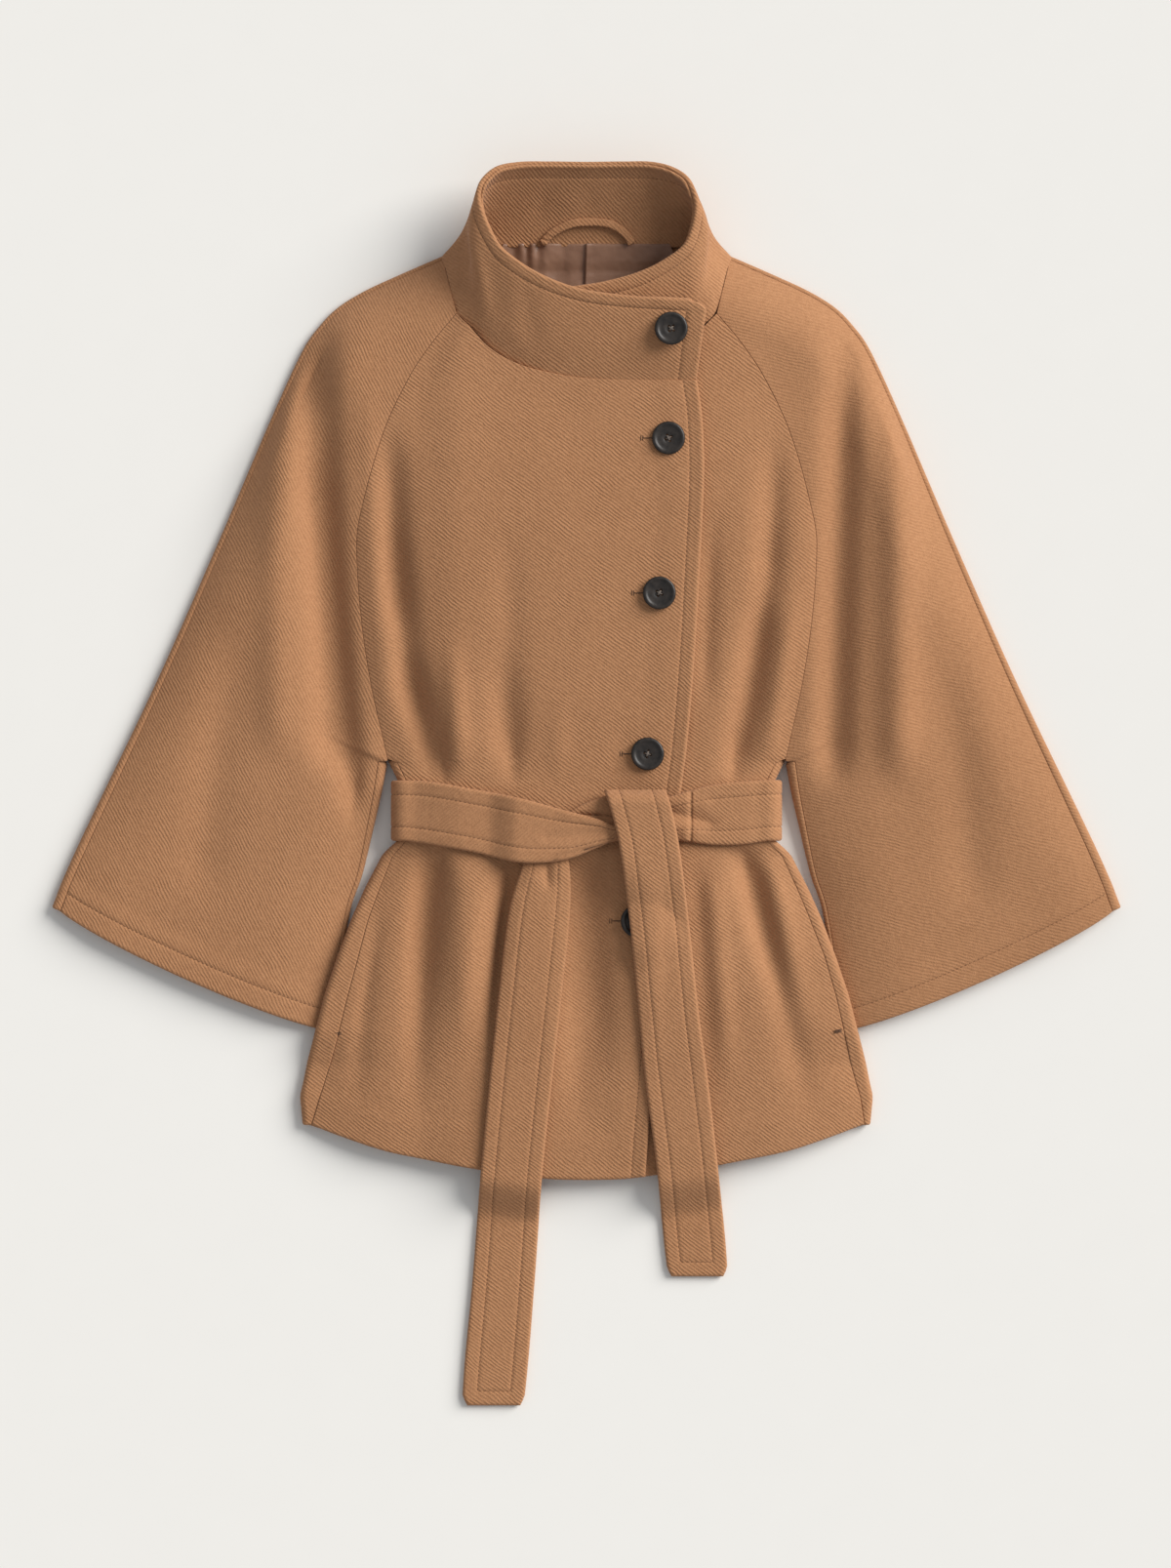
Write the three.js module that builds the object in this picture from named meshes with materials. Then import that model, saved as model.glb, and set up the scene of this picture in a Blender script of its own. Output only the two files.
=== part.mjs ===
// A short camel wool cape coat laid flat on its back: raglan sleeves, stand collar, tied belt.
// Millimetres. X runs across the coat, Y up its length, Z up from the surface it lies on.
import * as THREE from "three";

// Cloth, seams and trimmings
const clothWall = 2.4; // wool with its lining fused behind it
const facingWall = 2.0;
const liningWall = 1.0;
const facingGap = 0.8;
const seamGap = 0.3;
const underarmY = 19.2;
const neckEndY = 362; // where the front raglan seam meets the collar
const backNeckY = 402;
const hemY = -262; // hem height at the side seams, before its bow
const neckBowFrom = 200; // rows above this bend towards the neck seam
const hemBowFrom = -100; // rows below this bend towards the hem
const bodyRise = 75; // distance over which the front rises from its seam to its middle height
const overlapLift = 3.2; // how far the upper front rides on the lower one
const hiddenDrop = 1.6;
const neckDrop = 3;
const beltWall = 4.6;
const beltGap = 0.5;
const beltTop = 4;
const beltBottom = -43;
const beltLayer = 6.3; // how far the left band rises over the tail and the knot beneath it
const tuckReach = 4; // how far the band runs on under the body
const knotRise = 13.5; // how far the right tail rises over the crossing
const buttonWidth = 25.4;
const buttonThick = 3.6;
const buttonClear = { rise: 1.7, flat: 16, fall: 26 }; // how the tail passes over the lowest button
const raglanSteps = 9;
const sleeveFree = [0.02, 0.13, 0.26, 0.4, 0.55, 0.7, 0.85, 1]; // rows down the sleeve's free edge
const underarmShare = 0.653; // how far down the overarm line the underarm row meets it

// Half of the raglan seam, from the collar to the underarm, with the height of the cloth on it
const raglanSeam = [
  { x: 99.8, y: 362, z: 27 },
  { x: 117.4, y: 341, z: 28 },
  { x: 135.3, y: 314.7, z: 28 },
  { x: 157.3, y: 267.5, z: 27 },
  { x: 174, y: 206, z: 25 },
  { x: 176.5, y: 184, z: 24 },
  { x: 173.4, y: 131.7, z: 22 },
  { x: 165.8, y: 78.5, z: 19 },
  { x: 153, y: 19.2, z: 14 },
];

// On the back the same seam runs up to the back neck
const backRaglan = [{ x: 82, y: backNeckY }, { x: 112, y: 356 }, ...raglanSeam.slice(2)];

// Half of the outer line of the sleeve, from the neck over the shoulder to the cuff corner
const overarmLine = [
  [111.4, 407.7],
  [144, 393.5],
  [171, 381],
  [191, 368.7],
  [205, 354.8],
  [219.4, 334],
  [243.8, 281],
  [284, 187],
  [332, 78.5],
  [393.8, -50.6],
  [412, -94.5],
];

// Half of the free inner edge of the sleeve, from the underarm to the cuff
const sleeveEdge = [
  { x: 153, y: 19.2 },
  { x: 157.7, y: -5.6 },
  { x: 162.8, y: -28 },
  { x: 173, y: -70 },
  { x: 181.6, y: -95 },
  { x: 192, y: -156 },
  { x: 198, y: -190 },
];

// Rows down the body under the arm: outline, side seams, how far the back is lifted, edge radius
const sideRows = [
  { y: 18.4, edge: 152.6, left: 146, right: 146, lift: 0, radius: 6.4 },
  { y: 4, edge: 145.5, left: 138.8, right: 138.8, lift: 5.1, radius: 6 },
  { y: -20, edge: 145.5, left: 138.8, right: 138.8, lift: 5.1, radius: 6 },
  { y: -43, edge: 145.5, left: 138.8, right: 138.8, lift: 5.1, radius: 6 },
  { y: -54, edge: 157.5, left: 149, right: 150, lift: 0, radius: 6 },
  { y: -80, edge: 171, left: 159.3, right: 162, lift: 0, radius: 6 },
  { y: -105, edge: 182, left: 168.6, right: 172.5, lift: 4, radius: 5.5 },
  { y: -130, edge: 191.8, left: 175.7, right: 183, lift: 6.6, radius: 5 },
  { y: -160, edge: 202, left: 184.1, right: 192, lift: 6.6, radius: 4.8 },
  { y: -190, edge: 209.4, left: 191.6, right: 198.8, lift: 6.6, radius: 4.6 },
  { y: -215, edge: 215.6, left: 198.4, right: 204, lift: 0, radius: 4.6 },
  { y: -240, edge: 220.6, left: 205.7, right: 210.6, lift: 0, radius: 4.5 },
  { y: hemY, edge: 218.5, left: 211.7, right: 214, lift: 0, radius: 4 },
];

// Height of the middle of the fronts down the coat
const middleHeights = [
  { y: 362, z: 30 },
  { y: 310, z: 31 },
  { y: 200, z: 33 },
  { y: 100, z: 28 },
  { y: 20, z: 22 },
  { y: -20, z: 20 },
  { y: -60, z: 21 },
  { y: -150, z: 22 },
  { y: -250, z: 17 },
  { y: -304, z: 13 },
];

// Neck seam of a front, measured across from the centre towards its own side
const neckSeam = [
  { x: -84.9, y: 310.3 },
  { x: -31, y: 311 },
  { x: 0, y: 312 },
  { x: 29, y: 316.6 },
  { x: 54, y: 323.7 },
  { x: 75, y: 336 },
  { x: 90, y: 352 },
  { x: 99.8, y: 362 },
];

// Hem, by distance from the centre
const hemLine = [
  { x: 0, y: -304 },
  { x: 33, y: -302.8 },
  { x: 88.5, y: -295 },
  { x: 125.4, y: -288 },
  { x: 155.6, y: -281.6 },
  { x: 188, y: -271 },
  { x: 212, y: hemY },
];

// Free edge of the upper front, by height
const frontEdge = [
  { y: 310, x: 84.9 },
  { y: 284, x: 88.6 },
  { y: 242, x: 90.2 },
  { y: 183.5, x: 87.8 },
  { y: 102.5, x: 83.2 },
  { y: 28, x: 77 },
  { y: -5.6, x: 72.6 },
  { y: -252, x: 49 },
  { y: -304, x: 45 },
];

// Sleeve sections from neck to cuff: height of the middle, radius and seam inset of the outer edge
const sleeveRows = [
  { at: 0, middle: 26, radius: 3, inset: 3.4 },
  { at: 0.3, middle: 27, radius: 3.2, inset: 3.6 },
  { at: 0.65, middle: 21, radius: 3.8, inset: 5 },
  { at: 0.85, middle: 16, radius: 4.2, inset: 6.4 },
  { at: 1, middle: 12, radius: 4.4, inset: 7.5 },
];

// Radius of the sleeve's inner edge, by height; it is thin where the skirt lies on it
const sleeveEdgeRadius = [
  { y: 19, radius: 6 },
  { y: -28, radius: 5 },
  { y: -95, radius: 3 },
  { y: -190, radius: 2.9 },
];

// Main creases: a line from one end to the other, depth (troughs below zero) and half width
const creases = [
  { x1: -209, y1: 352, x2: -194, y2: 10, depth: -9, width: 15 },
  { x1: -238, y1: 330, x2: -238, y2: 20, depth: 4, width: 14 },
  { x1: 198, y1: 342, x2: 190, y2: 0, depth: -8, width: 13 },
  { x1: 240, y1: 330, x2: 240, y2: 0, depth: 5, width: 15 },
  { x1: -270, y1: 130, x2: -300, y2: -90, depth: -3, width: 18 },
  { x1: 275, y1: 120, x2: 300, y2: -100, depth: -3, width: 18 },
  { x1: -151, y1: 262, x2: -143, y2: 110, depth: -7, width: 11 },
  { x1: -141, y1: 104, x2: -112, y2: 2, depth: -10, width: 10 },
  { x1: -103, y1: 104, x2: -97, y2: 8, depth: 4, width: 9 },
  { x1: -67, y1: 100, x2: -58, y2: 4, depth: -5, width: 12 },
  { x1: 144, y1: 262, x2: 139, y2: 140, depth: -6, width: 11 },
  { x1: 137, y1: 150, x2: 112, y2: 2, depth: -10, width: 10 },
  { x1: 160, y1: 150, x2: 138, y2: 8, depth: 3, width: 8 },
  { x1: -117, y1: -48, x2: -128, y2: -180, depth: -9, width: 11 },
  { x1: 118, y1: -48, x2: 152, y2: -165, depth: -9, width: 10 },
  { x1: -57, y1: -55, x2: -76, y2: -230, depth: -4, width: 14 },
  { x1: 4, y1: -56, x2: 10, y2: -230, depth: -7, width: 13 },
  { x1: 46, y1: -60, x2: 58, y2: -230, depth: 3, width: 14 },
  { x1: -92, y1: -60, x2: -98, y2: -200, depth: 4, width: 12 },
  { x1: 142, y1: -60, x2: 166, y2: -190, depth: 3, width: 10 },
];

// The collar from its upper front end, round the left side and the back, to its hidden end:
// the seam at its foot, the flare that lies on the shoulder, the fold above it, and the rim
const collarStations = [
  { foot: [84.6, 311, 34.5], flare: [87.3, 331, 40.5], fold: [90, 351, 45.5], rim: [93, 370.5, 49] },
  { foot: [58, 311.4, 34.5], flare: [60, 332, 40.8], fold: [62, 352, 46], rim: [64, 372, 50] },
  { foot: [31, 311.6, 34.5], flare: [32, 333, 40.8], fold: [33, 354, 46], rim: [33.5, 373.5, 50] },
  { foot: [0, 312.8, 34], flare: [-0.5, 336, 40.8], fold: [-2, 358, 46], rim: [-4, 378.5, 50.5] },
  { foot: [-29, 317.4, 33], flare: [-29, 342, 40.5], fold: [-29.5, 365, 46.5], rim: [-30, 387.5, 51.5] },
  { foot: [-54, 324.6, 31], flare: [-54, 350, 40], fold: [-52.5, 375, 47], rim: [-50, 398.5, 52.5] },
  { foot: [-74.4, 337, 30], flare: [-72.5, 362, 38.5], fold: [-71, 388, 47], rim: [-67.5, 413, 53.5] },
  { foot: [-89, 353.2, 28], flare: [-84, 375, 37], fold: [-82, 401, 47], rim: [-77, 431, 54] },
  { foot: [-98.6, 363.6, 26.3], flare: [-88.5, 386, 34.5], fold: [-88, 413, 46], rim: [-81.5, 443, 54] },
  { foot: [-104.6, 385, 21.3], flare: [-90, 404, 29], fold: [-90.5, 425, 43], rim: [-83.5, 452, 53] },
  { foot: [-107.8, 397.6, 13.5], flare: [-93, 415, 24], fold: [-90.5, 434, 38], rim: [-82.5, 459, 51.5] },
  { foot: [-110.9, 408.1, 4.5], flare: [-97.5, 423, 16], fold: [-88, 442, 31], rim: [-78.5, 466, 49] },
  { foot: [-100, 406.8, 1.6], flare: [-86, 428, 9], fold: [-77.5, 451, 25], rim: [-69, 474, 44.5] },
  { foot: [-78, 403, 0.9], flare: [-69, 429, 7.5], fold: [-61, 454, 21], rim: [-52, 478, 39] },
  { foot: [-40, 403, 0.8], flare: [-36, 429, 7.5], fold: [-32, 454.5, 20], rim: [-27, 478.5, 36] },
  { foot: [0, 403, 0.6], flare: [0, 429, 7.5], fold: [0, 454.5, 20], rim: [0, 478.2, 36] },
  { foot: [40, 403, 0.8], flare: [36, 429, 7.5], fold: [32, 454.5, 20], rim: [27, 478.5, 36] },
  { foot: [78, 403, 0.9], flare: [69, 429, 7.5], fold: [60, 454, 21], rim: [51, 478, 39] },
  { foot: [100, 406.8, 1.6], flare: [87, 428, 9], fold: [78, 451, 25], rim: [67.5, 473, 44.5] },
  { foot: [110.9, 408.1, 4.5], flare: [98.5, 421.5, 16], fold: [89, 442, 31], rim: [77.5, 465.5, 48] },
  { foot: [107.8, 397.6, 14], flare: [95.5, 413, 23.5], fold: [92.3, 434, 35], rim: [82.5, 456, 48.5] },
  { foot: [104.6, 385, 21.5], flare: [93, 402, 28.5], fold: [93, 424, 38.5], rim: [84.5, 445, 48] },
  { foot: [98.6, 363.6, 26], flare: [91.3, 387, 31.5], fold: [90, 410, 39], rim: [82, 428, 47] },
  { foot: [89, 353.4, 26.5], flare: [85, 374, 32.2], fold: [82, 394, 39.5], rim: [75.5, 413.5, 46] },
  { foot: [74.2, 337.4, 24.5], flare: [70, 360, 31.5], fold: [66.5, 382, 38.5], rim: [60, 401.5, 45] },
  { foot: [50, 324.2, 25], flare: [48.5, 347, 31.5], fold: [46, 370, 38], rim: [42, 393, 43.5] },
  { foot: [16, 316.2, 25.5], flare: [16.5, 340, 31.5], fold: [15.5, 362.5, 37.5], rim: [14, 385, 42.5] },
  { foot: [-16, 316.2, 25.5], flare: [-15.5, 339, 31.5], fold: [-15, 361, 37.5], rim: [-14, 380.5, 42] },
];
const facingFoot = 0.16; // share of the collar's height where the facing starts
const collarSteps = 48;

// Edges of the belt's front parts, by distance along X
const leftBandEdges = [
  { x: -139.5, top: 3.6, bottom: -43 },
  { x: -120, top: 2.7, bottom: -45.8 },
  { x: -85.5, top: -3.3, bottom: -52 },
  { x: -51, top: -10, bottom: -59.5 },
  { x: -16.5, top: -19.4, bottom: -57.5 },
  { x: 8.8, top: -26.1, bottom: -47.9 },
  { x: 20, top: -30.5, bottom: -43.5 },
  { x: 36, top: -32, bottom: -42 },
];
const rightBandEdges = [
  { x: 139.5, top: 3.9, bottom: -43 },
  { x: 119, top: 2.7, bottom: -45.8 },
  { x: 96, top: 0, bottom: -46 },
  { x: 77, top: -5, bottom: -43.5 },
  { x: 60, top: -10, bottom: -42 },
  { x: 37, top: -16, bottom: -42 },
];

const knotEdges = [
  { x: 36.5, top: -14, bottom: -41 },
  { x: 18, top: -8, bottom: -39 },
  { x: 9, top: -10, bottom: -37 },
  { x: -2, top: -14.5, bottom: -34 },
  { x: -14, top: -21, bottom: -31 },
];

// Edges of the two belt tails, down from the knot
const leftTailEdges = [
  { y: -46, left: -44, right: -17 },
  { y: -62.5, left: -49.5, right: -13 },
  { y: -95, left: -59, right: -12.5 },
  { y: -157, left: -67, right: -18.5 },
  { y: -221.6, left: -74, right: -25.7 },
  { y: -300, left: -81.5, right: -34 },
  { y: -383, left: -88, right: -40 },
  { y: -470, left: -95.5, right: -47.5 },
  { y: -478.5, left: -92, right: -51 },
];
const rightTailEdges = [
  { y: -4.5, left: 13.5, right: 61 },
  { y: -17, left: 17.9, right: 65 },
  { y: -44.6, left: 24.8, right: 70.7 },
  { y: -104, left: 32.9, right: 78.5 },
  { y: -180, left: 40.5, right: 86.8 },
  { y: -221, left: 44.3, right: 92.6 },
  { y: -295, left: 54, right: 101.2 },
  { y: -371, left: 62, right: 108.5 },
  { y: -379, left: 65.5, right: 105.5 },
];

const buttonPlaces = [
  { x: 64.7, y: 349 },
  { x: 62.8, y: 265.9 },
  { x: 55.8, y: 147.2 },
  { x: 46.9, y: 23.9 },
  { x: 38.9, y: -104.4 },
];

const looks = {
  wool: { color: 0xb28058, roughness: 0.92, metalness: 0 },
  lining: { color: 0x966c50, roughness: 0.45, metalness: 0 },
  horn: { color: 0x322d2a, roughness: 0.35, metalness: 0 },
};

const coat = new THREE.Group();
coat.name = "cape_coat";

const clamp = (value) => Math.min(1, Math.max(0, value));
const smooth = (value) => clamp(value) ** 2 * (3 - 2 * clamp(value));
const rise = (share) => 1 - (1 - clamp(share)) ** 2;
const between = (a, b, share) => a + (b - a) * share;

// One column of a table as a smooth function of another column that steadily rises or falls
function valueAt(table, by, at, column) {
  const last = table.length - 1;
  const sign = Math.sign(table[last][by] - table[0][by]);
  if (sign * (at - table[0][by]) <= 0) return table[0][column];
  if (sign * (at - table[last][by]) >= 0) return table[last][column];
  let i = 0;
  while (sign * (at - table[i + 1][by]) > 0) i += 1;
  const slope = (k) => {
    const before = table[Math.max(k - 1, 0)];
    const after = table[Math.min(k + 1, last)];
    return (after[column] - before[column]) / (after[by] - before[by]);
  };
  const span = table[i + 1][by] - table[i][by];
  const t = (at - table[i][by]) / span;
  const start = table[i][column];
  const end = table[i + 1][column];
  const ease = t * t * (3 - 2 * t);
  return (
    start + (end - start) * ease + span * (slope(i) * t * (1 - t) ** 2 - slope(i + 1) * t * t * (1 - t))
  );
}

// Straight interpolation, for rows whose steps must not overshoot
function stepAt(table, by, at, column) {
  const last = table.length - 1;
  const sign = Math.sign(table[last][by] - table[0][by]);
  let i = 0;
  while (i < last - 1 && sign * (at - table[i + 1][by]) > 0) i += 1;
  const t = clamp((at - table[i][by]) / (table[i + 1][by] - table[i][by]));
  return between(table[i][column], table[i + 1][column], t);
}

// Height that the creases add at a point, none under the belt
function creaseAt(x, y) {
  const clearOfBelt = smooth((y - beltTop + 7) / 7) + smooth((beltBottom - 1 - y) / 7);
  let height = 0;
  for (const fold of creases) {
    const length = Math.hypot(fold.x2 - fold.x1, fold.y2 - fold.y1);
    const alongX = (fold.x2 - fold.x1) / length;
    const alongY = (fold.y2 - fold.y1) / length;
    const along = (x - fold.x1) * alongX + (y - fold.y1) * alongY;
    const across = (x - fold.x1) * alongY - (y - fold.y1) * alongX;
    const ends = smooth(along / 30 + 0.3) * smooth((length - along) / 45 + 0.2);
    height += fold.depth * ends * Math.exp(-((across / fold.width) ** 2));
  }
  return height * clearOfBelt;
}

// Distance of the front's outer seam from the centre, on the side that x is on
function seamAt(x, y) {
  if (y >= underarmY) return valueAt(raglanSeam, "y", y, "x");
  return stepAt(sideRows, "y", y, x < 0 ? "left" : "right");
}

// Height of the cloth along that seam
function seamHeight(y) {
  if (y >= underarmY) return valueAt(raglanSeam, "y", y, "z");
  return stepAt(sideRows, "y", y, "lift") + 2 * stepAt(sideRows, "y", y, "radius");
}

// Outer face of the lower layer of the fronts, with its creases unless folds is 0
function bodyTop(x, y, folds = 1) {
  const inward = seamAt(x, y) - Math.abs(x);
  const edge = seamHeight(y);
  const middle = valueAt(middleHeights, "y", y, "z");
  const settled = folds * (y < underarmY ? clamp(inward / 14) : 1);
  return edge + (middle - edge) * rise(inward / bodyRise) + creaseAt(x, y) * settled;
}

// Outer face of the upper front, which rides on the lower one
function overTop(x, y, folds = 1) {
  const inward = seamAt(x, y) - Math.abs(x);
  return bodyTop(x, y, folds) + overlapLift * smooth((x + 132) / 38) * smooth(inward / 25);
}

// Outer face of the lower front, which sinks a little where the upper one covers it
function underTop(x, y) {
  const covered = valueAt(frontEdge, "y", y, "x") - 4 - x;
  const drop = hiddenDrop + neckDrop * smooth((y - 262) / 40);
  return bodyTop(x, y) - drop * smooth(covered / 22);
}

// Closes two matching grids of points, rows by columns, into one solid
function addWall(name, look, outer, inner) {
  const rows = outer.length;
  const columns = outer[0].length;
  const points = [...outer.flat(), ...inner.flat()];
  const at = (side, r, c) => side * rows * columns + r * columns + c;
  const faces = [];
  const quad = (a, b, c, d) => faces.push(a, b, c, a, c, d);
  for (let r = 0; r < rows - 1; r += 1) {
    for (let c = 0; c < columns - 1; c += 1) {
      quad(at(0, r, c), at(0, r, c + 1), at(0, r + 1, c + 1), at(0, r + 1, c));
      quad(at(1, r, c), at(1, r + 1, c), at(1, r + 1, c + 1), at(1, r, c + 1));
    }
  }
  const end = rows - 1;
  for (let c = 0; c < columns - 1; c += 1) {
    quad(at(0, 0, c + 1), at(0, 0, c), at(1, 0, c), at(1, 0, c + 1));
    quad(at(0, end, c), at(0, end, c + 1), at(1, end, c + 1), at(1, end, c));
  }
  const side = columns - 1;
  for (let r = 0; r < rows - 1; r += 1) {
    quad(at(0, r, 0), at(0, r + 1, 0), at(1, r + 1, 0), at(1, r, 0));
    quad(at(0, r + 1, side), at(0, r, side), at(1, r, side), at(1, r + 1, side));
  }
  return addSolid(name, look, points, faces);
}

// Adds a closed mesh, turned so that its faces point out
function addSolid(name, look, points, faces) {
  const cross = new THREE.Vector3();
  let volume = 0;
  for (let i = 0; i < faces.length; i += 3) {
    cross.crossVectors(points[faces[i + 1]], points[faces[i + 2]]);
    volume += points[faces[i]].dot(cross);
  }
  const turned = volume < 0 ? faces.slice().reverse() : faces;
  const geometry = new THREE.BufferGeometry();
  geometry.setAttribute(
    "position",
    new THREE.Float32BufferAttribute(points.flatMap((p) => [p.x, p.y, p.z]), 3),
  );
  geometry.setIndex(turned);
  geometry.computeVertexNormals();
  return addMesh(name, look, geometry);
}

function addMesh(name, look, geometry) {
  const mesh = new THREE.Mesh(geometry, new THREE.MeshStandardMaterial(looks[look]));
  mesh.name = name;
  coat.add(mesh);
  return mesh;
}

// A panel lying on its face: its outer grid, and the same points let down by the wall
function addLaidWall(name, look, grid, wall) {
  const inner = grid.map((row) => row.map((p) => new THREE.Vector3(p.x, p.y, p.z - wall)));
  return addWall(name, look, grid, inner);
}

// Heights of the rows of a front, from the neck end of the raglan seam to the hem
function bodyRowHeights(topY) {
  const rows = [];
  for (let i = 0; i <= raglanSteps; i += 1) {
    rows.push(between(topY, underarmY, i / raglanSteps));
  }
  return [...rows, ...sideRows.map((row) => row.y)];
}

// How far a row bends down towards the hem at this distance from the centre
function hemBow(rowY, x) {
  const share = clamp((hemBowFrom - rowY) / (hemBowFrom - hemY));
  return share * (valueAt(hemLine, "x", Math.abs(x), "y") - hemY);
}

function neckBow(rowY, own) {
  const share = clamp((rowY - neckBowFrom) / (neckEndY - neckBowFrom));
  return share * (valueAt(neckSeam, "x", own, "y") - neckEndY);
}

// A front, measured from the centre towards its own side: side -1 is the upper left one
function addFront(name, side, columns, topAt) {
  const grid = bodyRowHeights(neckEndY).map((rowY) => {
    const seam = seamAt(side, rowY) - seamGap / 2;
    const endY = rowY + neckBow(rowY, -60) + hemBow(rowY, 60);
    const free = -valueAt(frontEdge, "y", endY, "x");
    const row = [];
    for (let c = 0; c <= columns; c += 1) {
      const own = between(seam, free, c / columns);
      const y = rowY + neckBow(rowY, own) + hemBow(rowY, own);
      row.push(new THREE.Vector3(side * own, y, topAt(side * own, y)));
    }
    return row;
  });
  addLaidWall(name, "wool", grid, clothWall);
}

// Outer and inner points of a cloth edge rolled from the floor up to its seam
function rolledEdge(radius, lift, inset, wall) {
  const turns = [-90, -45, 0, 45, 90].map((degrees) => THREE.MathUtils.degToRad(degrees));
  const points = turns.map((angle) => ({
    outer: [radius - radius * Math.cos(angle), lift + radius + radius * Math.sin(angle)],
    inner: [radius - (radius - wall) * Math.cos(angle), lift + radius + (radius - wall) * Math.sin(angle)],
  }));
  const top = lift + 2 * radius;
  return [...points, { outer: [inset, top], inner: [inset, top - wall] }];
}

// The same number of points on an edge that stays flat
function flatEdge(reach, wall) {
  return [1, 0.8, 0.6, 0.4, 0.2, 0].map((share) => ({
    outer: [reach * share, 0],
    inner: [reach * share, wall],
  }));
}

function addBackBody() {
  const outer = [];
  const inner = [];
  bodyRowHeights(backNeckY).forEach((rowY, i) => {
    const row = i > raglanSteps ? sideRows[i - raglanSteps - 1] : null;
    const lift = row ? row.lift : 0;
    const seamLift = row && rowY > beltBottom - 1 ? lift : 0;
    const edge = row ? row.edge : valueAt(backRaglan, "y", rowY, "x") - seamGap / 2;
    const reach = row ? row.radius : 7;
    const half = (side) => {
      const inset = row ? edge - (side < 0 ? row.left : row.right) - seamGap / 2 : 0;
      const turn = row ? rolledEdge(row.radius, lift, inset, clothWall) : flatEdge(reach, clothWall);
      const flats = [0.25, 0.5, 0.75].map((share) => [share * (edge - 30), seamLift]);
      flats.push([edge - reach - 15, lift]);
      const under = flats.map(([x, z]) => ({ x, outer: z, inner: z + clothWall }));
      return { under, turn };
    };
    const place = (x, z) => new THREE.Vector3(x, rowY + (row ? hemBow(rowY, x) : 0), z);
    const outerRow = [];
    const innerRow = [];
    const addHalf = (side) => {
      const { under, turn } = half(side);
      const run = [
        ...under.map((p) => [place(side * p.x, p.outer), place(side * p.x, p.inner)]),
        ...turn.map((p) => [
          place(side * (edge - p.outer[0]), p.outer[1]),
          place(side * (edge - p.inner[0]), p.inner[1]),
        ]),
      ];
      return side < 0 ? run.reverse() : run;
    };
    const middle = [place(0, seamLift), place(0, seamLift + clothWall)];
    for (const [out, back] of [...addHalf(-1), middle, ...addHalf(1)]) {
      outerRow.push(out);
      innerRow.push(back);
    }
    outer.push(outerRow);
    inner.push(innerRow);
  });
  addWall("back_body", "wool", outer, inner);
}

// Everything a sleeve row needs, on the right-hand side: its two edge points and inward directions
const overarm = new THREE.SplineCurve(overarmLine.map(([x, y]) => new THREE.Vector2(x, y)));

function sleeveRow(i, seamTable, topY) {
  const attached = i <= raglanSteps;
  const share = attached
    ? (underarmShare * i) / raglanSteps
    : between(underarmShare, 1, sleeveFree[i - raglanSteps - 1]);
  const out = overarm.getPointAt(share);
  const run = overarm.getTangentAt(share);
  const innerY = attached
    ? between(topY, underarmY, i / raglanSteps)
    : between(underarmY, sleeveEdge[sleeveEdge.length - 1].y, sleeveFree[i - raglanSteps - 1]);
  const innerX = valueAt(attached ? seamTable : sleeveEdge, "y", innerY, "x");
  return {
    share,
    attached,
    out,
    outward: new THREE.Vector2(-run.y, run.x),
    start: new THREE.Vector2(innerX, innerY),
    run,
    radius: stepAt(sleeveRows, "at", share, "radius"),
    inset: stepAt(sleeveRows, "at", share, "inset"),
    innerRadius: valueAt(sleeveEdgeRadius, "y", innerY, "radius"),
  };
}

// The cuff bows out past a straight line between its corners
function cuffBow(row, p, q) {
  const reach = 8.5 * clamp((row.share - 0.8) / 0.2) ** 2 * (4 * clamp(q) * (1 - clamp(q))) ** 0.7;
  return new THREE.Vector2(p.x + row.run.x * reach, p.y + row.run.y * reach);
}

function addSleeveFront(name, side) {
  const columns = 10;
  const grid = [];
  for (let i = 0; i <= raglanSteps + sleeveFree.length; i += 1) {
    const row = sleeveRow(i, raglanSeam, neckEndY);
    const tip = row.out.clone().addScaledVector(row.outward, -row.inset - seamGap);
    const along = tip.clone().sub(row.start).normalize();
    const skip = row.attached ? seamGap / 2 : row.innerRadius + 0.6 + seamGap;
    const from = row.start.clone().addScaledVector(along, skip);
    const width = from.distanceTo(tip);
    const middle = valueAt(sleeveRows, "at", row.share, "middle");
    const inner = row.attached ? seamHeight(row.start.y) : 2 * row.innerRadius;
    const outer = 2 * row.radius;
    const line = [];
    for (let c = 0; c <= columns; c += 1) {
      const q = c / columns;
      const flat = cuffBow(row, from.clone().lerp(tip, q), q);
      const a = width * q;
      const fromInner = (middle - inner) * (1 - rise(a / 60));
      const fromOuter = (middle - outer) * (1 - rise((width - a) / 45));
      const settled = clamp((width - a) / 14) * (row.attached ? 1 : clamp(a / 14));
      const z = middle - fromInner - fromOuter + creaseAt(side * flat.x, flat.y) * settled;
      line.push(new THREE.Vector3(side * flat.x, flat.y, z));
    }
    grid.push(line);
  }
  addLaidWall(name, "wool", grid, clothWall);
}

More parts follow.
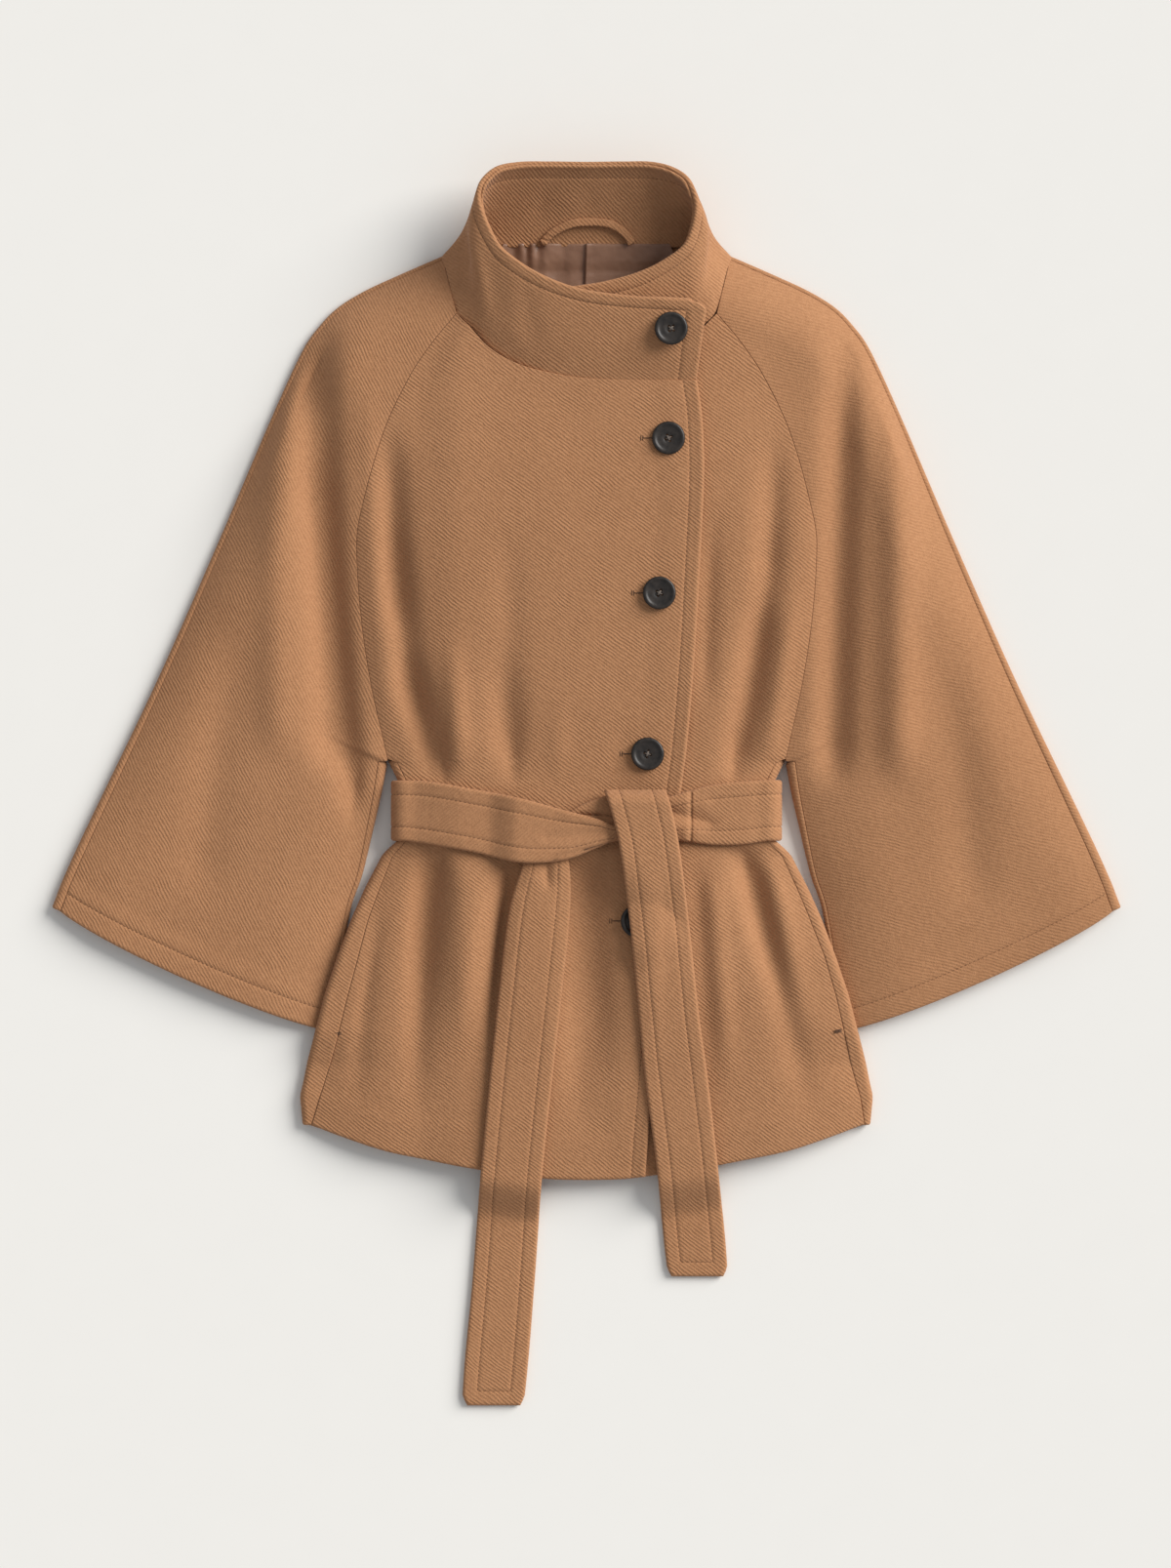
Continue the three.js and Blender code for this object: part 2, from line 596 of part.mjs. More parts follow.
function addSleeveBack(name, side) {
  const outer = [];
  const inner = [];
  for (let i = 0; i <= raglanSteps + sleeveFree.length; i += 1) {
    const row = sleeveRow(i, backRaglan, backNeckY);
    const along = row.out.clone().sub(row.start).normalize();
    const inset = row.innerRadius + 0.6;
    const near = row.attached ? flatEdge(7, clothWall) : rolledEdge(row.innerRadius, 0, inset, clothWall);
    const far = rolledEdge(row.radius, 0, row.inset, clothWall);
    const base = row.start.clone().addScaledVector(along, row.attached ? seamGap / 2 : 0);
    const nearPoint = (p) => base.clone().addScaledVector(along, p);
    const farPoint = (p) => row.out.clone().addScaledVector(row.outward, -p);
    const nearFlat = nearPoint(near[0].outer[0]);
    const farFlat = farPoint(far[0].outer[0]);
    const run = [
      ...near
        .reverse()
        .map((p) => [nearPoint(p.outer[0]), p.outer[1], nearPoint(p.inner[0]), p.inner[1], 0]),
      ...[1 / 3, 2 / 3].map((q) => {
        const p = nearFlat.clone().lerp(farFlat, q);
        return [p, 0, p, clothWall, q];
      }),
      ...far.map((p) => [farPoint(p.outer[0]), p.outer[1], farPoint(p.inner[0]), p.inner[1], 1]),
    ];
    const place = (p, z, q) => {
      const flat = cuffBow(row, p, q);
      return new THREE.Vector3(side * flat.x, flat.y, z);
    };
    outer.push(run.map(([p, z, , , q]) => place(p, z, q)));
    inner.push(run.map(([, , p, z, q]) => place(p, z, q)));
  }
  addWall(name, "wool", outer, inner);
}

// The collar's outer face: around from 0 to 1, and up from its foot at 0 to its rim at 1
const collarCurves = ["foot", "flare", "fold", "rim"].map(
  (ring) => new THREE.CatmullRomCurve3(collarStations.map((row) => new THREE.Vector3(...row[ring]))),
);

function collarPoint(around, up) {
  const section = collarCurves.map((curve) => curve.getPoint(clamp(around)));
  return new THREE.CatmullRomCurve3(section).getPoint(clamp(up));
}

function collarNormal(around, up) {
  const step = 0.004;
  const along = collarPoint(around + step, up).sub(collarPoint(around - step, up));
  const upward = collarPoint(around, up + step).sub(collarPoint(around, up - step));
  return upward.cross(along).normalize();
}

// A layer of the collar from its foot to the rim, start millimetres in from the outer face
function addCollarWall(name, look, foot, start, wall, rows) {
  const layer = (depth) => {
    const grid = [];
    for (let r = 0; r <= rows; r += 1) {
      const line = [];
      for (let c = 0; c <= collarSteps; c += 1) {
        const around = c / collarSteps;
        const up = between(foot, 1, r / rows);
        line.push(collarPoint(around, up).addScaledVector(collarNormal(around, up), -depth));
      }
      grid.push(line);
    }
    return grid;
  };
  return addWall(name, look, layer(start), layer(start + wall));
}

// The lining shows only inside the neck, from the facing down the inside of the back
function addLining() {
  const rows = [
    { y: 413.5, half: 66, z: 8.6 },
    { y: 403, half: 70, z: 5 },
    { y: 396, half: 72, z: 3.1 },
    { y: 340, half: 86, z: 2.8 },
    { y: 296, half: 96, z: 2.8 },
  ];
  const grid = rows.map(({ y, half, z }) => {
    const line = [];
    for (let c = 0; c <= 8; c += 1) {
      const q = (c / 8) * 2 - 1;
      line.push(new THREE.Vector3(half * q, y, z + liningWall));
    }
    return line;
  });
  addLaidWall("lining", "lining", grid, liningWall);
}

// Height of the highest of these meshes under a point
const ray = new THREE.Raycaster();
const down = new THREE.Vector3(0, 0, -1);

function topOf(meshes, x, y) {
  ray.set(new THREE.Vector3(x, y, 200), down);
  const hits = ray.intersectObjects(meshes, false);
  return hits.length ? hits[0].point.z : 0;
}

function addHangerLoop(facing) {
  const width = 6;
  const wall = 1.6;
  const path = new THREE.SplineCurve(
    [
      [-34, 418],
      [-26, 425],
      [-12, 431],
      [3, 433],
      [18, 431],
      [29, 425],
      [35, 418],
    ].map(([x, y]) => new THREE.Vector2(x, y)),
  );
  const grid = [];
  for (let i = 0; i <= 12; i += 1) {
    const p = path.getPoint(i / 12);
    const run = path.getTangent(i / 12);
    grid.push(
      [-0.5, 0.5].map((share) => {
        const x = p.x - run.y * width * share;
        const y = p.y + run.x * width * share;
        return new THREE.Vector3(x, y, topOf([facing], x, y) + 0.6 + wall);
      }),
    );
  }
  addLaidWall("hanger_loop", "lining", grid, wall);
}

// A belt part lying on the fronts: rows of points across, a rounded top and a flat underside
function addBeltPart(name, rows, floorAt, extra = []) {
  const shares = [0, 0.12, 0.5, 0.88, 1];
  const outer = [];
  const inner = [];
  for (const row of rows) {
    const points = shares.map((share) => {
      const x = between(row.a.x, row.b.x, share);
      const y = between(row.a.y, row.b.y, share);
      return { x, y, z: floorAt(x, y), round: share === 0 || share === 1 ? 1.4 : 0 };
    });
    outer.push(points.map((p) => new THREE.Vector3(p.x, p.y, p.z + beltWall - p.round)));
    inner.push(points.map((p) => new THREE.Vector3(p.x, p.y, p.z + (p.round ? 0.4 : 0))));
  }
  for (const row of extra) {
    outer.push(shares.map((share) => row.outer(share)));
    inner.push(shares.map((share) => row.inner(share)));
  }
  addWall(name, "wool", outer, inner);
}

// The belt turns round the side of the body to its underside
function bandTurn(side, top, bottom) {
  const row = sideRows[2];
  const centreX = row.edge - row.radius;
  const centreZ = row.lift + row.radius;
  const inner = row.radius + beltGap;
  const turns = [90, 45, 0, -45, -90].map((degrees) => THREE.MathUtils.degToRad(degrees));
  const at = (angle, radius, share, reach) =>
    new THREE.Vector3(
      side * (centreX - reach + radius * Math.cos(angle)),
      between(top, bottom, share),
      centreZ + radius * Math.sin(angle),
    );
  const round = turns.map((angle) => ({
    outer: (share) => at(angle, inner + beltWall, share, 0),
    inner: (share) => at(angle, inner, share, 0),
  }));
  const last = turns[turns.length - 1];
  const tuck = {
    outer: (share) => at(last, inner + beltWall, share, tuckReach),
    inner: (share) => at(last, inner, share, tuckReach),
  };
  return [...round, tuck];
}

function bandRows(edges, from, to, steps) {
  const rows = [];
  for (let i = 0; i <= steps; i += 1) {
    const x = between(from, to, i / steps);
    const top = valueAt(edges, "x", x, "top");
    const bottom = valueAt(edges, "x", x, "bottom");
    rows.push({ a: new THREE.Vector2(x, top), b: new THREE.Vector2(x, bottom) });
  }
  return rows;
}

function addBand(name, side, edges, steps, topAt) {
  const rows = bandRows(edges, edges[edges.length - 1].x, edges[0].x, steps).slice(0, -1);
  const reach = Math.abs(edges[0].x) - 4;
  const settle = (x, y) => {
    const flat = sideRows[2].lift + 2 * sideRows[2].radius;
    const near = smooth((Math.abs(x) - reach + 12) / 12);
    return between(topAt(x, y), flat, near) + beltGap;
  };
  addBeltPart(name, rows, settle, bandTurn(side, edges[0].top, edges[0].bottom));
}

function addBeltBack() {
  const reach = 135.2;
  const rows = [-1, -0.5, 0, 0.5, 1].map((share) => ({
    a: new THREE.Vector2(share * reach, beltTop - 0.4),
    b: new THREE.Vector2(share * reach, beltBottom + 0.4),
  }));
  addBeltPart("belt_back", rows, () => 0);
}

// How high a tail's underside lies: on the coat, then down past the hem to the floor
function tailFloor(x, y, topAt, raise) {
  const hem = valueAt(hemLine, "x", Math.abs(x), "y");
  const onCoat = topAt(x, Math.max(y, hem + 1)) + beltGap + 0.5 + raise(x, y);
  return onCoat * (1 - smooth((hem - 3 - y) / 34));
}

function addTail(name, edges, ys, topAt, raise) {
  const rows = ys.map((y) => ({
    a: new THREE.Vector2(valueAt(edges, "y", y, "left"), y),
    b: new THREE.Vector2(valueAt(edges, "y", y, "right"), y),
  }));
  addBeltPart(name, rows, (x, y) => tailFloor(x, y, topAt, raise));
}

const evenSteps = (from, to, count) =>
  Array.from({ length: count + 1 }, (_, i) => between(from, to, i / count));

function buttonShape() {
  const ring = (x, y, radius, sides) =>
    Array.from({ length: sides }, (_, i) => {
      const angle = (i / sides) * Math.PI * 2;
      return new THREE.Vector2(x + radius * Math.cos(angle), y + radius * Math.sin(angle));
    });
  const shape = new THREE.Shape(ring(0, 0, buttonWidth / 2 - 1, 20));
  for (const [x, y] of [
    [1, 1],
    [1, -1],
    [-1, -1],
    [-1, 1],
  ]) {
    shape.holes.push(new THREE.Path(ring(x * 2.4, y * 2.4, 1.2, 5)));
  }
  const geometry = new THREE.ExtrudeGeometry(shape, {
    depth: buttonThick - 1.6,
    bevelEnabled: true,
    bevelSize: 1,
    bevelThickness: 0.8,
    bevelSegments: 1,
  });
  geometry.translate(0, 0, 0.8);
  return geometry;
}

function addButtons(carriers) {
  const shape = buttonShape();
  buttonPlaces.forEach(({ x, y }, i) => {
    let seat = 0;
    for (let k = 0; k < 24; k += 1) {
      const angle = (k / 12) * Math.PI * 2;
      const reach = (k < 12 ? 1 : 0.5) * (buttonWidth / 2);
      seat = Math.max(seat, topOf(carriers, x + reach * Math.cos(angle), y + reach * Math.sin(angle)));
    }
    const mesh = addMesh(`button_${i + 1}`, "horn", shape.clone());
    mesh.position.set(x, y, seat + 0.35);
  });
}

addBackBody();
addFront("front_under", 1, 19, underTop);
addFront("front_over", -1, 22, overTop);
addSleeveFront("sleeve_left_front", -1);
addSleeveBack("sleeve_left_back", -1);
addSleeveFront("sleeve_right_front", 1);
addSleeveBack("sleeve_right_back", 1);
addCollarWall("collar", "wool", 0, 0, clothWall, 6);
const facing = addCollarWall("collar_facing", "wool", facingFoot, clothWall + facingGap, facingWall, 5);
addLining();
addHangerLoop(facing);

const underLeft = (x, y) => overTop(x, y, 0) + beltLayer * smooth((x + 76) / 24);
const underRight = (x, y) => (x > 78 ? bodyTop(x, y, 0) : overTop(Math.min(x, 70), y, 0));
addBand("belt_left_band", -1, leftBandEdges, 14, underLeft);
addBand("belt_right_band", 1, rightBandEdges, 9, underRight);
addBeltBack();
const knotRows = bandRows(knotEdges, knotEdges[0].x, knotEdges[knotEdges.length - 1].x, 5);
addBeltPart("belt_knot", knotRows, (x, y) => underRight(x, y) + beltGap);

const overButton = (x, y) => {
  const away = Math.hypot(x - buttonPlaces[4].x, y - buttonPlaces[4].y);
  const fall = smooth((away - buttonClear.flat) / buttonClear.fall);
  return (buttonThick + buttonClear.rise) * (1 - fall);
};
const overKnot = (x, y) => knotRise * smooth((y + 122) / 74) * (1 - 0.75 * smooth((y + 12) / 8));
const leftTailRows = evenSteps(-46, -478.5, 25);
const rightTailRows = [-4.5, -8, -12, ...evenSteps(-25, -379, 22)];
addTail("belt_left_tail", leftTailEdges, leftTailRows, overTop, () => 0);
addTail(
  "belt_right_tail",
  rightTailEdges,
  rightTailRows,
  (x, y) => Math.max(bodyTop(x, y), overTop(Math.min(x, 60), y)),
  (x, y) => Math.max(overButton(x, y), overKnot(x, y)),
);

const carriers = coat.children.filter((mesh) => ["front_over", "collar"].includes(mesh.name));
coat.updateMatrixWorld(true);
addButtons(carriers);

export default coat;
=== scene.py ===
# A camel wool cape coat laid flat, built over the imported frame. Lengths below are millimetres.
import math

import bmesh
import bpy
import numpy as np
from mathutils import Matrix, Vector


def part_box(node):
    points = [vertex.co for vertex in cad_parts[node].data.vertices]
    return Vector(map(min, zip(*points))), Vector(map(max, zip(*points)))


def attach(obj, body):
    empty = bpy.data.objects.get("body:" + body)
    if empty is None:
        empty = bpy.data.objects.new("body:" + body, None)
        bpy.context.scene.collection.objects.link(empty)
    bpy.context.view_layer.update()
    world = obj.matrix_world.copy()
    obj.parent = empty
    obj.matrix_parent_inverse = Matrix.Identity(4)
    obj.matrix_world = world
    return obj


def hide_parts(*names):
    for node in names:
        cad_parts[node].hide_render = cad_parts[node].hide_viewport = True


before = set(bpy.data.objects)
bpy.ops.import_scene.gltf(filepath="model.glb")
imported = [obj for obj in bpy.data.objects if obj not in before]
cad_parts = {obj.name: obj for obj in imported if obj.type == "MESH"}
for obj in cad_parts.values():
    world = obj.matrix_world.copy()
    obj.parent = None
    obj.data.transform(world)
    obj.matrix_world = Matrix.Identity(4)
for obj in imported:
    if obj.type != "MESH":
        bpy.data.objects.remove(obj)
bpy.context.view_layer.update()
print("frame loaded:", len(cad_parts), "nodes")

mm = 0.001

# shared sizes of the cloth
cloth = {
    "wall": 2.4,
    "seamGap": 0.08,
    "seamRound": 0.55,  # how far the cloth rounds down into a seam
    "underarmY": 19.2,
    "neckEndY": 362,
    "backNeckY": 402,
    "hemY": -262,
    "neckBowFrom": 200,
    "hemBowFrom": -100,
    "rise": 75,  # how far in from its seam a front reaches its full height
    "overlapLift": 3.2,
    "hiddenDrop": 1.6,
    "neckDrop": 3,
    "beltTop": 4,
    "beltBottom": -43,
    "deepest": 16,  # troughs that meet go no deeper than this
    "underarmJump": 7,  # the seam steps in this far under the arm
    "underarmEase": 30,  # and the top evens that out over this length
    "calmEdge": 14,  # width beside an edge where the creases fade out
    "calmAfter": 25,  # length under the arm over which they start to
}

# half of the raglan seam, collar to underarm
raglanSeam = {
    "x": [99.8, 117.4, 135.3, 157.3, 174, 176.5, 173.4, 165.8, 153],
    "y": [362, 341, 314.7, 267.5, 206, 184, 131.7, 78.5, 19.2],
    "z": [27, 28, 28, 27, 25, 24, 22, 19, 14],
}
backRaglan = {
    "x": [82, 112, 135.3, 157.3, 174, 176.5, 173.4, 165.8, 153],
    "y": [402, 356, 314.7, 267.5, 206, 184, 131.7, 78.5, 19.2],
}

# half of the sleeve's outer line, neck to cuff corner, and of its free inner edge
overarmLine = {
    "x": [111.4, 144, 171, 191, 205, 219.4, 243.8, 284, 332, 393.8, 412],
    "y": [407.7, 393.5, 381, 368.7, 354.8, 334, 281, 187, 78.5, -50.6, -94.5],
}
sleeveEdge = {
    "x": [153, 157.7, 162.8, 173, 181.6, 192, 198],
    "y": [19.2, -5.6, -28, -70, -95, -156, -190],
}

# rows down the body under the arm
sideRows = {
    "y": [18.4, 4, -20, -43, -54, -80, -105, -130, -160, -190, -215, -240, -262],
    "edge": [152.6, 145.5, 145.5, 145.5, 157.5, 171, 182, 191.8, 202, 209.4, 215.6, 220.6, 218.5],
    "left": [146, 138.8, 138.8, 138.8, 149, 159.3, 168.6, 175.7, 184.1, 191.6, 198.4, 205.7, 211.7],
    "right": [146, 138.8, 138.8, 138.8, 150, 162, 172.5, 183, 192, 198.8, 204, 210.6, 214],
    "lift": [0, 5.1, 5.1, 5.1, 0, 0, 4, 6.6, 6.6, 6.6, 0, 0, 0],
    "radius": [7, 6, 6, 6, 6, 6, 5.5, 5, 4.8, 4.6, 4.6, 4.5, 4],
}
middleHeights = {
    "y": [362, 310, 200, 100, 20, -20, -60, -150, -250, -304],
    "z": [30, 31, 33, 28, 22, 20, 21, 22, 17, 13],
}
neckSeam = {
    "x": [-84.9, -31, 0, 29, 54, 75, 90, 99.8],
    "y": [310.3, 311, 312, 316.6, 323.7, 336, 352, 362],
}
hemLine = {
    "x": [0, 33, 88.5, 125.4, 155.6, 188, 212],
    "y": [-304, -302.8, -295, -288, -281.6, -271, -262],
}
frontEdge = {
    "x": [84.9, 88.6, 90.2, 87.8, 83.2, 77, 72.6, 49, 45],
    "y": [310, 284, 242, 183.5, 102.5, 28, -5.6, -252, -304],
}
sleeveRows = {
    "at": [0, 0.3, 0.65, 0.85, 1],
    "middle": [26, 27, 21, 16, 12],
    "radius": [3, 3.2, 3.8, 4.2, 4.4],
    "inset": [3.4, 3.6, 5, 6.4, 7.5],
}
sleeveEdgeRadius = {"y": [19, -28, -95, -190], "radius": [7, 5, 3, 2.9]}

# creases: from, to, depth (troughs below zero), half width
creases = [
    (-209, 352, -194, 10, -9, 15),
    (-238, 330, -238, 20, 4, 14),
    (198, 342, 190, 0, -8, 13),
    (240, 330, 240, 0, 5, 15),
    (-270, 130, -300, -90, -3, 18),
    (275, 120, 300, -100, -3, 18),
    (-151, 262, -143, 110, -7, 11),
    (-141, 104, -112, 2, -10, 10),
    (-103, 104, -97, 8, 4, 9),
    (-67, 100, -58, 4, -5, 12),
    (144, 262, 139, 140, -6, 11),
    (137, 150, 112, 2, -10, 10),
    (160, 150, 138, 8, 3, 8),
    (-117, -48, -128, -180, -9, 11),
    (118, -48, 152, -165, -9, 10),
    (-57, -55, -76, -230, -4, 14),
    (4, -56, 10, -230, -7, 13),
    (46, -60, 58, -230, 3, 14),
    (-92, -60, -98, -200, 4, 12),
    (142, -60, 166, -190, 3, 10),
]
# more of them, only in the scene, in the same form
fineCreases = [
    (-209, 330, -196, 10, -6, 13),
    (198, 330, 190, 0, -4, 12),
    (240, 320, 240, 10, 3, 15),
    (-168, 300, -152, 40, 2, 10),
    (-152, 210, -128, 40, -5, 10),
    (144, 210, 126, 40, -3, 10),
    (-60, 190, -57, 8, -2, 12),
    (-111, 46, -109, 0, -4, 4),
    (-111, -44, -115, -78, -4, 4.5),
    (-57, 34, -57, -2, -4, 6),
    (114, 40, 113, 2, -4, 4),
    (119, -44, 124, -76, -4, 4.5),
    (-59, -60, -73, -190, -8, 6),
    (84, -60, 97, -250, -1.5, 8),
    (97, -70, 110, -230, 2.5, 8),
    (-78, -60, -96, -190, 2, 8),
    (-20, 60, -24, 4, 2, 9),
    (30, 40, 22, 2, -2, 8),
    (-9, -50, -5, -260, -6, 14),
    (-214, 260, -176, -30, -8, 11),
    (-121, -60, -133, -250, -5, 11),
    (-164, -90, -178, -250, -3, 9),
    (126, -60, 172, -250, -4, 11),
    (96, 200, 90, 60, -3, 8),
]


def smooth(t):
    t = np.clip(t, 0, 1)
    return t * t * (3 - 2 * t)


def riseTo(t):
    return 1 - (1 - np.clip(t, 0, 1)) ** 2


def along(table, by, at, column):  # a smooth curve through one column of a table
    keys, values = np.array(table[by], float), np.array(table[column], float)
    if keys[0] > keys[-1]:
        keys, values = keys[::-1], values[::-1]
    slopes = np.empty(len(keys))
    slopes[1:-1] = (values[2:] - values[:-2]) / (keys[2:] - keys[:-2])
    slopes[0] = (values[1] - values[0]) / (keys[1] - keys[0])
    slopes[-1] = (values[-1] - values[-2]) / (keys[-1] - keys[-2])
    at = np.clip(at, keys[0], keys[-1])
    i = np.clip(np.searchsorted(keys, at) - 1, 0, len(keys) - 2)
    span = keys[i + 1] - keys[i]
    t = (at - keys[i]) / span
    bend = span * (slopes[i] * t * (1 - t) ** 2 - slopes[i + 1] * t * t * (1 - t))
    return values[i] + (values[i + 1] - values[i]) * t * t * (3 - 2 * t) + bend


def level(table, by, at, column):  # straight steps between rows
    keys, values = np.array(table[by], float), np.array(table[column], float)
    if keys[0] > keys[-1]:
        keys, values = keys[::-1], values[::-1]
    return np.interp(at, keys, values)


def foldLines(x, y, lines, fadeFor):  # soft ridges and troughs along straight lines
    height = np.zeros(np.broadcast(x, y).shape)
    for x1, y1, x2, y2, depth, width in lines:
        length = math.hypot(x2 - x1, y2 - y1)
        ux, uy = (x2 - x1) / length, (y2 - y1) / length
        down = (x - x1) * ux + (y - y1) * uy
        across = (x - x1) * uy - (y - y1) * ux
        fadeIn, startAt, fadeOut, endAt = fadeFor(y1)
        ends = smooth(down / fadeIn + startAt) * smooth((length - down) / fadeOut + endAt)
        height += depth * ends * np.exp(-((across / width) ** 2))
    return height


def creaseFade(y1):  # creases start softly above the waist and run out slowly below it
    return (65, 0.3, 45, 0.2) if y1 > 0 else (30, 0.3, 90, 0.2)


def creaseAt(x, y):  # none under the belt, while those of the sleeves run on beside it
    clear = smooth((y - cloth["beltTop"] + 7) / 7) + smooth((cloth["beltBottom"] - 1 - y) / 7)
    clear = np.maximum(clear, smooth((np.abs(x) - 150) / 10))
    height = foldLines(x, y, creases + fineCreases, creaseFade)
    deepest = cloth["deepest"]
    height = np.where(height < 0, deepest * np.tanh(height / deepest), height)
    return height * clear


def unevenAt(x, y):  # the slight lumpiness of cloth lying loose
    waves = np.sin(x / 31 + 1.3 * np.sin(y / 47)) * np.sin(y / 38 + 0.8 * np.sin(x / 29))
    small = np.sin(x / 13 + y / 17 + 2 * np.sin(y / 41)) * np.sin(y / 15 - x / 23)
    return 0.45 * waves + 0.12 * small


def seamAt(x, y):
    side = np.where(x < 0, level(sideRows, "y", y, "left"), level(sideRows, "y", y, "right"))
    return np.where(y >= cloth["underarmY"], along(raglanSeam, "y", y, "x"), side)


def seamHeight(y):
    side = level(sideRows, "y", y, "lift") + 2 * level(sideRows, "y", y, "radius")
    return np.where(y >= cloth["underarmY"], along(raglanSeam, "y", y, "z"), side)


def inwardFrom(x, y):  # distance in from the seam, without its jump under the arm
    inward = seamAt(x, y) - np.abs(x)
    under = smooth(1 - (cloth["underarmY"] - y) / cloth["underarmEase"]) * (y < cloth["underarmY"])
    return inward + cloth["underarmJump"] * under * np.clip(inward / cloth["calmEdge"], 0, 1)


def bodyTop(x, y, folds=1):  # folds 0 leaves the creases out
    inward = inwardFrom(x, y)
    edge = seamHeight(y)
    middle = along(middleHeights, "y", y, "z")
    below = smooth((cloth["underarmY"] - y) / cloth["calmAfter"])
    settled = folds * (1 - below * (1 - np.clip(inward / cloth["calmEdge"], 0, 1)))
    loose = (creaseAt(x, y) + unevenAt(x, y)) * settled
    return edge + (middle - edge) * riseTo(inward / cloth["rise"]) + loose


def overTop(x, y, folds=1):
    inward = seamAt(x, y) - np.abs(x)
    return bodyTop(x, y, folds) + cloth["overlapLift"] * smooth((x + 132) / 38) * smooth(inward / 25)


def underTop(x, y):
    covered = along(frontEdge, "y", y, "x") - 4 - x
    drop = cloth["hiddenDrop"] + cloth["neckDrop"] * smooth((y - 262) / 40)
    return bodyTop(x, y) - drop * smooth(covered / 22)


def hemBow(rowY, x):
    share = np.clip((cloth["hemBowFrom"] - rowY) / (cloth["hemBowFrom"] - cloth["hemY"]), 0, 1)
    return share * (along(hemLine, "x", np.abs(x), "y") - cloth["hemY"])


def neckBow(rowY, own):
    share = np.clip((rowY - cloth["neckBowFrom"]) / (cloth["neckEndY"] - cloth["neckBowFrom"]), 0, 1)
    return share * (along(neckSeam, "x", own, "y") - cloth["neckEndY"])


# mesh making

seamStops = [0, 0.06, 0.2, 0.45, 0.8, 1.6, 3]
foldStops = [0, 0.15, 0.6, 1.3, 2.3, 4]
stitchStops = [8, 9.8, 10.5, 11, 11.5, 12.2, 14]


def stops(length, near, far, step):  # distances along a line, closer together near both ends
    start, end = near[-1], far[-1]
    count = max(2, int(round((length - start - end) / step)))
    middle = np.linspace(start, length - end, count + 1)
    return np.concatenate([near[:-1], middle, length - np.array(far[:-1])[::-1]])


def spread(width, near, far, count):  # the same for many rows of different widths
    width = np.asarray(width, float)[:, None]
    q = np.linspace(0, 1, count + 1)[None, :]
    middle = near[-1] + (width - near[-1] - far[-1]) * q
    head = np.broadcast_to(np.array(near[:-1], float), (len(width), len(near) - 1))
    tail = width - np.array(far[:-1], float)[::-1][None, :]
    return np.concatenate([head, middle, tail], axis=1)


def rounded(distance, radius):  # how thick a cloth edge still is near its border
    t = np.clip(distance / radius, 0, 1)
    return np.maximum(np.sqrt(np.maximum(1 - (1 - t) ** 2, 0)), 0.06)


def dip(distance, at, width=0.8):
    return np.exp(-(((distance - at) / width) ** 2))


def gridNormals(mid):
    across, down = np.gradient(mid, axis=1), np.gradient(mid, axis=0)
    normal = np.cross(across, down)
    return normal / np.maximum(np.linalg.norm(normal, axis=2, keepdims=True), 1e-9)


def meshFrom(name, points, faces, material):
    points, faces = np.asarray(points, float), np.asarray(faces, int)
    a, b, c = points[faces[:, 0]], points[faces[:, 1]], points[faces[:, 2]]
    if np.einsum("ij,ij->i", a, np.cross(b, c)).sum() < 0:
        faces = faces[:, ::-1]
    mesh = bpy.data.meshes.new(name)
    mesh.vertices.add(len(points))
    mesh.vertices.foreach_set("co", (points * mm).astype(np.float32).ravel())
    mesh.loops.add(faces.size)
    mesh.loops.foreach_set("vertex_index", faces.astype(np.int32).ravel())
    mesh.polygons.add(len(faces))
    mesh.polygons.foreach_set("loop_start", np.arange(0, faces.size, faces.shape[1], dtype=np.int32))
    mesh.polygons.foreach_set("use_smooth", np.ones(len(faces), bool))
    mesh.update(calc_edges=True)
    mesh.validate()
    piece = bpy.data.objects.new(name, mesh)
    bpy.context.scene.collection.objects.link(piece)
    piece.data.materials.append(material)
    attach(piece, "root")
    return piece


def gridFaces(rows, columns):
    r, c = np.meshgrid(np.arange(rows - 1), np.arange(columns - 1), indexing="ij")
    a = (r * columns + c).ravel()
    top = np.stack([a, a + 1, a + columns + 1, a + columns], axis=1)
    under = top[:, ::-1] + rows * columns
    border = np.concatenate([
        np.arange(columns),
        np.arange(1, rows) * columns + columns - 1,
        (rows - 1) * columns + np.arange(columns - 2, -1, -1),
        np.arange(rows - 2, 0, -1) * columns,
    ])
    after = np.roll(border, -1)
    rim = np.stack([after, border, border + rows * columns, after + rows * columns], axis=1)
    return np.concatenate([top, under, rim])


def clothShell(name, mid, half, material):  # a closed shell round a middle surface
    normal = gridNormals(mid)
    up = mid + normal * half[..., None]
    down = mid - normal * half[..., None]
    rows, columns = half.shape
    points = np.concatenate([up.reshape(-1, 3), down.reshape(-1, 3)])
    piece = meshFrom(name, points, gridFaces(rows, columns), material)
    outer = up if up[..., 2].mean() > down[..., 2].mean() else down
    return piece, outer


# materials


class Value:  # a socket that plain arithmetic works on
    def __init__(self, shader, socket):
        self.shader, self.socket = shader, socket

    def __add__(self, other):
        return self.shader.sum("ADD", self, other)

    def __sub__(self, other):
        return self.shader.sum("SUBTRACT", self, other)

    def __mul__(self, other):
        return self.shader.sum("MULTIPLY", self, other)

    __radd__ = __add__
    __rmul__ = __mul__


